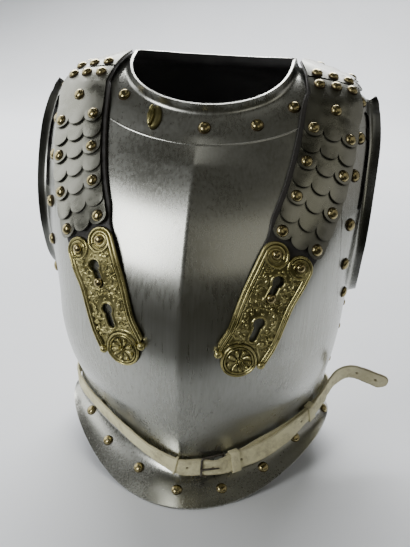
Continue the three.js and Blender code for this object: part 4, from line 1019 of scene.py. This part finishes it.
def plate_mesh():
    """Points, faces, and dirt and painted shade of a keyhole plate: a grid cut and drawn to its
    outline.
    """
    k = KEYHOLE_PLATE
    foot = (k["foot"] - 4, k["foot"])
    outline = np.vstack([
        arc(LOBE, k["lobes"], LOBE, 0, 168, 24), arc(-LOBE, k["lobes"], LOBE, 12, 180, 24),
        [(-k["half_width"], foot[1]), (-BALL["aside"], foot[0])],
        arc(0, k["rosette"], k["rosette_radius"], 170, 370, 40),
        [(BALL["aside"], foot[0]), (k["half_width"], foot[1])],
    ])
    holes = [
        np.vstack([
            arc(0, end, SLOT_HALF_WIDTH, 180, 360, 12), arc(0, hole, KEYHOLE_RADIUS, -54, 234, 24),
        ])
        for hole, end in KEYHOLES
    ]
    u, s = np.meshgrid(np.arange(-28.5, 28.6, CELL), np.arange(10, 153, CELL))

    def distances(u, s):
        hole = np.minimum(*(polygon_distance(h, u, s) for h in holes))
        return np.maximum(polygon_distance(outline, u, s), -hole), hole

    edge, _ = distances(u, s)
    kept = (edge[:-1, :-1] + edge[1:, :-1] + edge[:-1, 1:] + edge[1:, 1:]) < 0
    count = np.zeros(u.shape, int)
    for rows in (slice(None, -1), slice(1, None)):
        for cols in (slice(None, -1), slice(1, None)):
            count[rows, cols] += kept
    border = (count > 0) & (count < 4)
    for _ in range(3):
        far = distances(u, s)[0]
        slope_u = (distances(u + 0.05, s)[0] - distances(u - 0.05, s)[0]) * 10
        slope_s = (distances(u, s + 0.05)[0] - distances(u, s - 0.05)[0]) * 10
        u = u - np.where(border, far * slope_u, 0)
        s = s - np.where(border, far * slope_s, 0)
    edge, hole = distances(u, s)
    relief = plate_relief(u, s, hole)
    flat = (relief < HOLLOW["flat"]) * (u**2 + (s - k["rosette"]) ** 2 > ROSETTE_FIELD_SQUARED)
    # Painted shade and dirt in the recesses of the relief, where it lies below its blurred
    # surroundings, and a darker flat field.
    hollow = np.clip((blurred(relief, HOLLOW["reach"]) - relief) * HOLLOW["gain"], 0, 1)
    hollow = np.maximum(hollow, HOLLOW["field"] * flat)
    rounding = ROUNDING["drop"] * np.clip(1 + edge / ROUNDING["reach"], 0, 1) ** 2
    top = strap_point(s, u, plate_height(s) + FIELD_HEIGHT + relief - rounding)
    under = strap_point(s, u, plate_height(s))
    faces = net_faces(*u.shape)[kept.ravel()]
    edges = np.concatenate([faces[:, [i, (i + 1) % 4]] for i in range(4)])
    shared = set(map(tuple, edges[:, ::-1].tolist()))
    rim = np.array([e for e in edges.tolist() if tuple(e) not in shared])
    total = u.size
    walls = np.stack([rim[:, 1], rim[:, 0], rim[:, 0] + total, rim[:, 1] + total], -1)
    faces = np.vstack([faces, walls])
    used = np.unique(faces)
    number = np.zeros(2 * total, int)
    number[used] = np.arange(len(used))
    points = np.concatenate([top.reshape(-1, 3), under.reshape(-1, 3)])[used]
    return points, number[faces], np.concatenate([hollow.ravel(), np.ones(total)])[used]


def keyhole_plates():
    points, faces, hollow = plate_mesh()
    turn = np.linspace(-1.5, 1.55, 14)
    ball, ball_faces = lathe(BALL["radius"] * np.stack([np.cos(turn), np.sin(turn)], -1), 20)
    head, head_faces = lathe(STUD_PROFILE, STUD["sides"])
    head = at_frame(head, strap_point(STUD["at"], 0, 0.3), strap_normal(STUD["at"], 0, 1))
    stud_darkening = np.repeat(STUD_DARKENING, STUD["sides"])
    for side in SIDES:
        mirror = side == "right"
        build = Build()
        build.add(points, faces, 0, mirror, hollow=hollow)
        for sign in (-1, 1):
            place = BALL["at"], sign * BALL["aside"], BALL["over"]
            placed = at_frame(ball, strap_point(*place), strap_normal(*place))
            build.add(placed, ball_faces, 0, mirror)
            rivet = PLATE_RIVET
            place = rivet["at"], sign * rivet["aside"], plate_height(rivet["at"]) + FIELD_HEIGHT
            add_rivet(build, strap_point(*place), strap_normal(*place), rivet["size"], 1, mirror)
        build.object(f"keyhole_plate_{side}_relief", [BRASS, RIVETS], [f"keyhole_plate_{side}"],
                     split=50)
        stud = Build()
        stud.add(head, head_faces, 0, mirror, grime=stud_darkening)
        stud.object(f"strap_stud_{side}_head", [RIVETS], [f"strap_stud_{side}"])


keyhole_plates()

# ---- rivets and the neck hook

NECK_RIVETS = ((-27.1, 422.5), (1.3, 398.9), (16.8, 403.7), (29.6, 420.5))
ARM_RIVETS = ((71.5, 424), (60, 392), (54.9, 358.3), (55.9, 311.5), (59.5, 270), (68, 231))
WAIST_RIVETS = (
    (-60, 0.46), (-43.5, 0.64), (-23.5, 0.62), (-1, 0.7), (21, 0.76), (40.5, 0.72), (58, 0.5),
    (85.5, 0.5),
)
SEAM_RIVETS = {"angle": 85.5, "z": (195, 165, 120), "size": (3.4, 1.8)}
HOOK = {"angle": -13.9, "z": 404.5, "half_width": 7, "half_length": 13, "height": 8, "sides": 36}
HOOK_FOOT = ((1.04, -0.05), (1, 0.1), (0.93, 0.32), (0.8, 0.45), (0.5, 0.53), (0.02, 0.56))
# Painted shade and grime on the oval foot beside the bar, darkest at its rim.
HOOK_FOOT_SHADE_AND_DIRT = (1, 0.9, 0.7, 0.6, 0.7, 0.7)
HOOK_BAR = ((1, 0), (1, 0.8), (0.94, 0.93), (0.8, 1), (0.02, 1.02))
HOOK_BAR_SHARE = {"length": 0.86, "width": 0.42, "aside": 0.45}


def rivet_heads():
    build = Build()
    nodes = []

    def on_torso(degrees_, z, **size):
        angle = math.radians(degrees_)
        normal = torso_normal(angle, z)
        add_rivet(build, torso(angle, z) + normal * RIVET_SINK, normal, **size)

    for i, (degrees_, z) in enumerate(NECK_RIVETS):
        on_torso(degrees_, z)
        nodes.append(f"rivet_neck_{i + 1}")
    for i, (degrees_, z) in enumerate(ARM_RIVETS):
        for sign, side in zip((1, -1), SIDES):
            on_torso(sign * degrees_, z)
            nodes.append(f"rivet_arm_{side}_{i + 1}")
    for i, (degrees_, down) in enumerate(WAIST_RIVETS):
        angle = math.radians(degrees_)
        a = skirt_point(angle + 0.01, down) - skirt_point(angle - 0.01, down)
        b = skirt_point(angle, down - 0.05) - skirt_point(angle, down + 0.05)
        normal = unit(np.cross(a, b))
        add_rivet(build, skirt_point(angle, down) + normal * RIVET_SINK, normal)
        nodes.append(f"rivet_waist_{i + 1}")
    for z in SEAM_RIVETS["z"]:
        for sign in (1, -1):
            on_torso(sign * SEAM_RIVETS["angle"], z, size=SEAM_RIVETS["size"])
    build.object("rivet_heads", [RIVETS], nodes)


def neck_hook():
    """An oval foot with a raised bar beside its middle."""
    angle = math.radians(HOOK["angle"])
    normal = torso_normal(angle, HOOK["z"])
    origin = torso(angle, HOOK["z"]) + normal * 0.2
    long, wide, high = HOOK["half_length"], HOOK["half_width"], HOOK["height"]
    build = Build()
    foot, foot_faces = lathe(HOOK_FOOT, HOOK["sides"])
    build.add(at_frame(foot * (long, wide, high), origin, normal), foot_faces,
              hollow=np.repeat(HOOK_FOOT_SHADE_AND_DIRT, HOOK["sides"]))
    bar, bar_faces = lathe(HOOK_BAR, HOOK["sides"])
    bar = bar * (long * HOOK_BAR_SHARE["length"], wide * HOOK_BAR_SHARE["width"], high)
    bar[:, :2] *= np.maximum(1, 1.25 - np.abs(bar[:, :1]) / long) ** 0.6
    bar[:, 1] += wide * HOOK_BAR_SHARE["aside"]
    build.add(at_frame(bar, origin, normal), bar_faces)
    build.object("neck_hook_brass", [BRASS], ["neck_hook"])


rivet_heads()
neck_hook()

# ---- waist belt

BELT_WALL = 13.5
BELT_HALF_WIDTH = 11
BELT_THICKNESS = 2.4
BELT_PATH = columns(
    "angle rise out lean",
    (-112, 13.5, 3.2, 0), (-84, 13.5, 3.2, 2), (-60, 13, 3, 12), (-40, 12, 3, 15),
    (-20, 12, 3.2, 15), (-9, 12, 3.6, 12), (3, 9, 4, 3), (10, 7, 4, 0), (16, 3.5, 3.8, 0),
    (22, 1.5, 4, -6), (32, 0.5, 4.8, -8), (38, 0.5, 5, -11), (45, 2.5, 5, -9), (52, 7, 5, -4),
    (60, 14.5, 5, 7), (69, 20.5, 4.4, 7), (76, 20.5, 4.1, 6), (86, 19, 3.8, 3),
    (98, 16, 3.4, 0), (112, 13.5, 3.2, 0),
)
BILLET = columns(
    "angle over raise width",
    (-112, 0, 0, 1), (-48, 0, 0, 1), (-6, 0, 0, 1), (3, 0, 0, 1), (9, 0, 0, 1), (13, 1, 0, 0.9),
    (16.5, 2.8, 0, 0.84), (20, 3.8, 0, 0.9), (24, 3.1, 0, 1), (30, 3, 0, 1), (36, 3, -1, 1),
    (43, 3, -1.5, 1), (50, 3, -1, 1), (57, 3, 0, 1), (67, 3, 0, 1),
)
BILLET_END = (
    (153, -33, 83), (161, -20, 92.5), (171, -10, 98.5), (182.5, -4.5, 100.5), (194.5, -1, 97.5),
    (207.5, 1, 92.5), (219.5, 3, 87.5), (229, 5, 82.5),
)
BILLET_END_FACES = (
    (0.87, -0.48, -0.1), (0.77, -0.62, -0.15), (0.45, -0.85, -0.25), (0.25, -0.9, -0.36),
    (0.2, -0.9, -0.4), (0.2, -0.9, -0.4), (0.2, -0.9, -0.4), (0.2, -0.9, -0.4),
)
CHAPE = columns(
    "angle raise", (23.5, 0), (30.5, 0), (36, 1.5), (43, 2), (50, 1.5), (57, 0), (67, 0), (112, 0),
)
BILLET_KEYS = ("over", "raise", "width")
BILLET_HOLES = (3.5, 16.2, 29.6, 58.8)
END_HOLES = (42, 16)
HOLE = {"deep": 1.9, "from": 1.0, "to": 2.0}
BELT_STEP = 0.35
BELT_ENDS = 112
BILLET_LAST = 67.01
CHAPE_FIRST = 23.5
JOIN = -16
TIP_NARROWS = 0.96
WORN = {"most": 0.42, "from": 62, "to": 30}
BUCKLE = {"start": 10.5, "start_over": 3.5, "end": 22, "end_over": -0.6}
BUCKLE_HALF = 11.4
BUCKLE_BAR = 1.25
TONGUE = {"start": 9.6, "start_over": 6.4, "end": 19, "end_over": 6.8}
TONGUE_LIFT = 0.6
LAYERS = 2 * BELT_THICKNESS + 0.6
KEEPERS = {
    "belt_keeper_fixed": (27, LAYERS, 11, 1.4, 0.5),
    "belt_keeper_loose": (64.5, LAYERS, 10, 1.4, 0.5),
    "belt_thong": (-2, BELT_THICKNESS, 2.5, 0.8, 0.8),
}
WRINKLES = (
    (0.31, 0.5, 0, 0.14), (0.83, -0.4, 1.3, 0.09), (1.7, 0.9, 2.1, 0.05), (0.12, 0.15, 4, 0.2),
)


def belt_line(degrees_):
    """Inner face of the belt at each angle, and the way it faces."""
    angle = np.radians(degrees_)
    crease = crease_height(angle)
    rise, out, lean = (table(BELT_PATH, key, degrees_, "angle") for key in ("rise", "out", "lean"))
    level = unit(torso_normal(angle, crease + BELT_WALL) * (1, 1, 0))
    point = torso(angle, crease + BELT_WALL) + level * out[..., None]
    point[..., 2] = crease + rise
    lean = np.radians(lean)
    normal = level * np.cos(lean)[..., None]
    normal[..., 2] = -np.sin(lean)
    return point, normal


def belt_station(degrees_, over, raised=0.0):
    """Middle of a layer of the belt, the way it faces and the way across it."""
    degrees_, over, raised = np.broadcast_arrays(
        *(np.atleast_1d(np.asarray(v, float)) for v in (degrees_, over, raised))
    )
    point, normal = belt_line(degrees_)
    forward = unit(belt_line(degrees_ + 1.5)[0] - belt_line(degrees_ - 1.5)[0])
    up = unit(np.cross(normal, forward))
    outward = np.cross(forward, up)
    point = point + up * raised[:, None] + outward * (over + BELT_THICKNESS / 2)[:, None]
    return point, outward, up


def strap_strip(build, point, outward, up, width, holes=(), wear_and_shade=0.0):
    """A strap with rounded edges along a line of stations; holes are given along its line."""
    half = BELT_THICKNESS / 2
    bend = np.radians(np.linspace(90, -90, 7))[1:-1]
    outer, inner = np.linspace(-1, 1, 33), np.linspace(1, -1, 5)
    share = np.concatenate([outer, np.ones(5), inner, -np.ones(5)])
    aside = np.concatenate([0 * outer, np.cos(bend), 0 * inner, -np.cos(bend)])
    out = np.concatenate([0 * outer + 1, np.sin(bend), 0 * inner - 1, -np.sin(bend)])
    across_ = share[None] * (BELT_HALF_WIDTH * width[:, None] - half) + half * aside[None]
    run = lengths_along(point)[:, None]
    dent = np.zeros(across_.shape)
    for hole in holes:
        apart = np.hypot(run - hole, across_)
        dent += HOLE["deep"] * (1 - ease(apart, HOLE["from"], HOLE["to"])) * (out > 0.9)
    wrinkle = sum(high * np.sin(a * run + b * across_ + c) for a, b, c, high in WRINKLES)
    height = half * out[None] - dent + wrinkle
    net = point[:, None] + up[:, None] * across_[..., None] + outward[:, None] * height[..., None]
    edge_dirt = 0.5 * ease(np.abs(share), 0.86, 1.0)[None]
    # Painted shade in the holes, dirt along the edges and wear towards the end.
    grime = np.clip(dent + edge_dirt + wear_and_shade * np.ones(across_.shape), 0, 1)
    build.add(net, net_faces(*net.shape[:2], wrap=True)[:, ::-1], grime=grime.ravel())
    for end, order in ((0, 1), (-1, -1)):
        build.add(net[end], np.arange(len(share))[None, ::order], grime=0.5)


def rounded_ring(build, origin, x, y, half_x, low_y, high_y, corner, section, grime=0.0):
    """A closed ring, rectangular with rounded corners in x and y; a section goes round it."""
    z = np.cross(x, y)
    path = []
    for quarter, (sx, sy) in enumerate(((1, 1), (-1, 1), (-1, -1), (1, -1))):
        middle = sx * (half_x - corner), (high_y if sy > 0 else low_y) - sy * corner
        for t in np.radians(np.linspace(90 * quarter, 90 * quarter + 90, 6)):
            nx, ny = math.cos(t), math.sin(t)
            path.append((middle[0] + corner * nx, middle[1] + corner * ny, nx, ny))
    px, py, nx, ny = (np.array(v)[:, None, None] for v in zip(*path))
    n, t = (np.array(v)[None, :, None] for v in zip(*section))
    net = origin + x * (px + nx * n) + y * (py + ny * n) + z * t
    build.add(net, net_faces(*net.shape[:2], wrap=True, close=True), grime=grime)


def keeper(name, degrees_, thick, length, wall, gap):
    """A leather loop round the belt."""
    point, outward, up = (v[0] for v in belt_station(degrees_, -BELT_THICKNESS / 2))
    half, flat = length / 2, wall / 2
    ends = [(math.cos(t) * flat, half - 0.6 + 0.6 * math.sin(t)) for t in np.linspace(0, np.pi, 7)]
    section = ends + [(-n, -t) for n, t in ends]
    build = Build()
    middle = gap + flat
    rounded_ring(build, point, up, outward, BELT_HALF_WIDTH + middle, -middle, thick + middle,
                 1.6, section, 0.12)
    build.object(f"{name}_leather", [BUFF], [name], split=60)


def belt_frame(start, start_over, end, end_over):
    """Axes of a metal part that runs over the belt between two places."""
    first, first_face, _ = (v[0] for v in belt_station(start, start_over - BELT_THICKNESS / 2))
    last, last_face, _ = (v[0] for v in belt_station(end, end_over - BELT_THICKNESS / 2))
    length = np.linalg.norm(last - first)
    x = (last - first) / length
    z = first_face + last_face
    z = unit(z - x * np.dot(z, x))
    return first, x, np.cross(z, x), z, length


def billet():
    """The strap that goes through the buckle, along the cuirass and then hanging free."""
    degrees_ = np.arange(-BELT_ENDS, BILLET_LAST, BELT_STEP)
    over, raised, width = (table(BILLET, key, degrees_, "angle") for key in BILLET_KEYS)
    point, outward, up = belt_station(degrees_, over, raised)
    knots = np.vstack([point[JOIN], point[-1], BILLET_END])
    faces = np.vstack([outward[JOIN], outward[-1], BILLET_END_FACES])
    last = len(knots) - 1
    t = np.linspace(1 / last, 1, 130)[1:]
    tail = catmull_rom(knots, t)
    forward = unit(np.gradient(tail, axis=0))
    facing = catmull_rom(faces, t)
    facing = unit(facing - forward * np.sum(facing * forward, -1, keepdims=True))
    to_tip = np.clip((t * last - (last - 1)), 0, 1)
    width = np.concatenate([width, np.sqrt(1 - TIP_NARROWS * to_tip**2)])
    point = np.vstack([point, tail])
    outward = np.vstack([outward, facing])
    up = np.vstack([up, np.cross(facing, forward)])
    run = lengths_along(point)
    holes = [np.interp(d, degrees_, run[: len(degrees_)]) for d in BILLET_HOLES]
    holes += [run[-1] - before for before in END_HOLES]
    wear_and_shade = WORN["most"] * ease(run, run[-1] - WORN["from"], run[-1] - WORN["to"])[:, None]
    return point, outward, up, width, holes, wear_and_shade


def chape():
    degrees_ = np.arange(CHAPE_FIRST, BELT_ENDS + 0.01, BELT_STEP)
    raised = table(CHAPE, "raise", degrees_, "angle")
    return *belt_station(degrees_, 0, raised), np.ones(len(degrees_))


def waist_belt():
    for name, strap in (("belt_billet", billet), ("belt_chape", chape)):
        build = Build()
        strap_strip(build, *strap())
        build.object(f"{name}_leather", [BUFF], [name], split=60)
    for name, settings in KEEPERS.items():
        keeper(name, *settings)
    build = Build()
    start, x, y, _, length = belt_frame(**BUCKLE)
    round_bar = np.linspace(0, 2 * np.pi, 12, endpoint=False)
    section = [(BUCKLE_BAR * math.cos(t), BUCKLE_BAR * math.sin(t)) for t in round_bar]
    middle = start + x * length / 2
    rounded_ring(build, middle, x, y, length / 2, -BUCKLE_HALF, BUCKLE_HALF, 3, section)
    build.object("belt_buckle_bars", [IRON], ["belt_buckle"], split=60)
    start, x, _, z, length = belt_frame(**TONGUE)
    rod, rod_faces = lathe([
        (0.05, -0.2), (1.1, 0), (1.3, 1), (1.2, length / 2), (0.9, length - 1.5),
        (0.6, length - 0.3), (0.02, length),
    ], 14)
    build = Build()
    build.add(at_frame(rod, start + z * TONGUE_LIFT, x, z), rod_faces)
    build.object("belt_tongue_rod", [IRON], ["belt_tongue"], split=60)


waist_belt()

# ---- floor, light and camera


def way_to(azimuth, elevation):
    """Direction in degrees; azimuth 0 is in front, positive to the wearer's left."""
    a, e = math.radians(azimuth), math.radians(elevation)
    return Vector((math.sin(a) * math.cos(e), -math.cos(a) * math.cos(e), math.sin(e)))


def panel(name, azimuth, elevation, distance, size, radiance, colour):
    """A soft light that faces the cuirass."""
    way = way_to(azimuth, elevation)
    lamp = bpy.data.lights.new(name, "AREA")
    lamp.shape = "RECTANGLE"
    lamp.size, lamp.size_y = size
    lamp.energy = radiance * math.pi * size[0] * size[1]
    lamp.color = colour
    holder = bpy.data.objects.new(name, lamp)
    holder.location = AIM + way * distance
    holder.rotation_euler = way.to_track_quat("Z", "Y").to_euler()
    GROUPS.objects.link(holder)


AIM = Vector((0, 0, 0.25))
FLOOR_FRONT = -0.36
FLOOR_BACK = 2.2
FLOOR_BEND = 1.2
WORLD_LIGHT = 0.05
WORLD_COLOUR = (1, 0.98, 0.78, 1)
PANELS = (
    ("window", -38, 22, 2.2, (0.66, 1.0), 11.5, (0.97, 0.99, 1)),
    ("left_wall", -106, 24, 2.6, (2.4, 2.2), 2.5, (0.97, 0.99, 1)),
    ("back_window", -168, 36, 3.0, (3.0, 1.7), 13.5, (0.98, 0.99, 1)),
    ("right_wall", 100, 20, 2.6, (2.0, 2.0), 0.35, (1, 0.98, 0.97)),
    ("room", 24, 24, 2.4, (0.9, 1.1), 0.58, (1, 0.98, 0.86)),
    ("right_room", 62, 38, 2.6, (1.3, 1.2), 0.55, (1, 0.98, 0.86)),
    ("ceiling", -20, 80, 2.3, (0.7, 0.7), 0.7, (1, 1, 0.95)),
)


def floor_material():
    s = Shader("pale_floor", (0.62, 0.64, 0.66), 0.0, 0.75)
    light = s.remap(s.noise(3, 4), 0.3, 0.7)
    return s.set(base_color=s.mix(light, (0.70, 0.715, 0.735), (0.73, 0.74, 0.76)))


def stage():
    """A floor that bends up behind the cuirass, the world's light and the panels."""
    profile = [(FLOOR_FRONT, 0), (FLOOR_BACK, 0)]
    for t in np.linspace(0.1, np.pi / 2, 12):
        profile.append((FLOOR_BACK + FLOOR_BEND * math.sin(t), FLOOR_BEND * (1 - math.cos(t))))
    profile.append((FLOOR_BACK + FLOOR_BEND, 5))
    net = np.array([[(x, y, z) for x in (-6, 6)] for y, z in profile])
    mesh = bpy.data.meshes.new("floor")
    mesh.from_pydata(net.reshape(-1, 3).tolist(), [], net_faces(*net.shape[:2]).tolist())
    mesh.polygons.foreach_set("use_smooth", [True] * len(mesh.polygons))
    mesh.materials.append(floor_material())
    floor = bpy.data.objects.new("floor", mesh)
    GROUPS.objects.link(floor)
    world = bpy.data.worlds.new("studio")
    world.use_nodes = True
    colour, strength = world.node_tree.nodes["Background"].inputs[:2]
    colour.default_value = WORLD_COLOUR
    strength.default_value = WORLD_LIGHT
    bpy.context.scene.world = world
    for settings in PANELS:
        panel(*settings)


CAMERA = {"at": (103.3, -803.4, 525.6), "way": (7.38, 21.35), "roll": 2.5, "lens": 47.82}
SENSOR = 36


def camera():
    data = bpy.data.cameras.new("camera")
    data.sensor_fit = "VERTICAL"
    data.sensor_height = SENSOR
    data.sensor_width = SENSOR
    data.lens = CAMERA["lens"]
    holder = bpy.data.objects.new("camera", data)
    GROUPS.objects.link(holder)
    back = way_to(*CAMERA["way"])
    roll = math.radians(CAMERA["roll"])
    right = (-back).cross(Vector((0, 0, 1))).normalized()
    up = right.cross(-back)
    axes = (
        right * math.cos(roll) + up * math.sin(roll),
        up * math.cos(roll) - right * math.sin(roll),
        back,
    )
    place = Matrix([[axis[i] for axis in axes] for i in range(3)]).to_4x4()
    place.translation = Vector(metres(CAMERA["at"]))
    holder.matrix_world = place
    bpy.context.scene.camera = holder


stage()
camera()
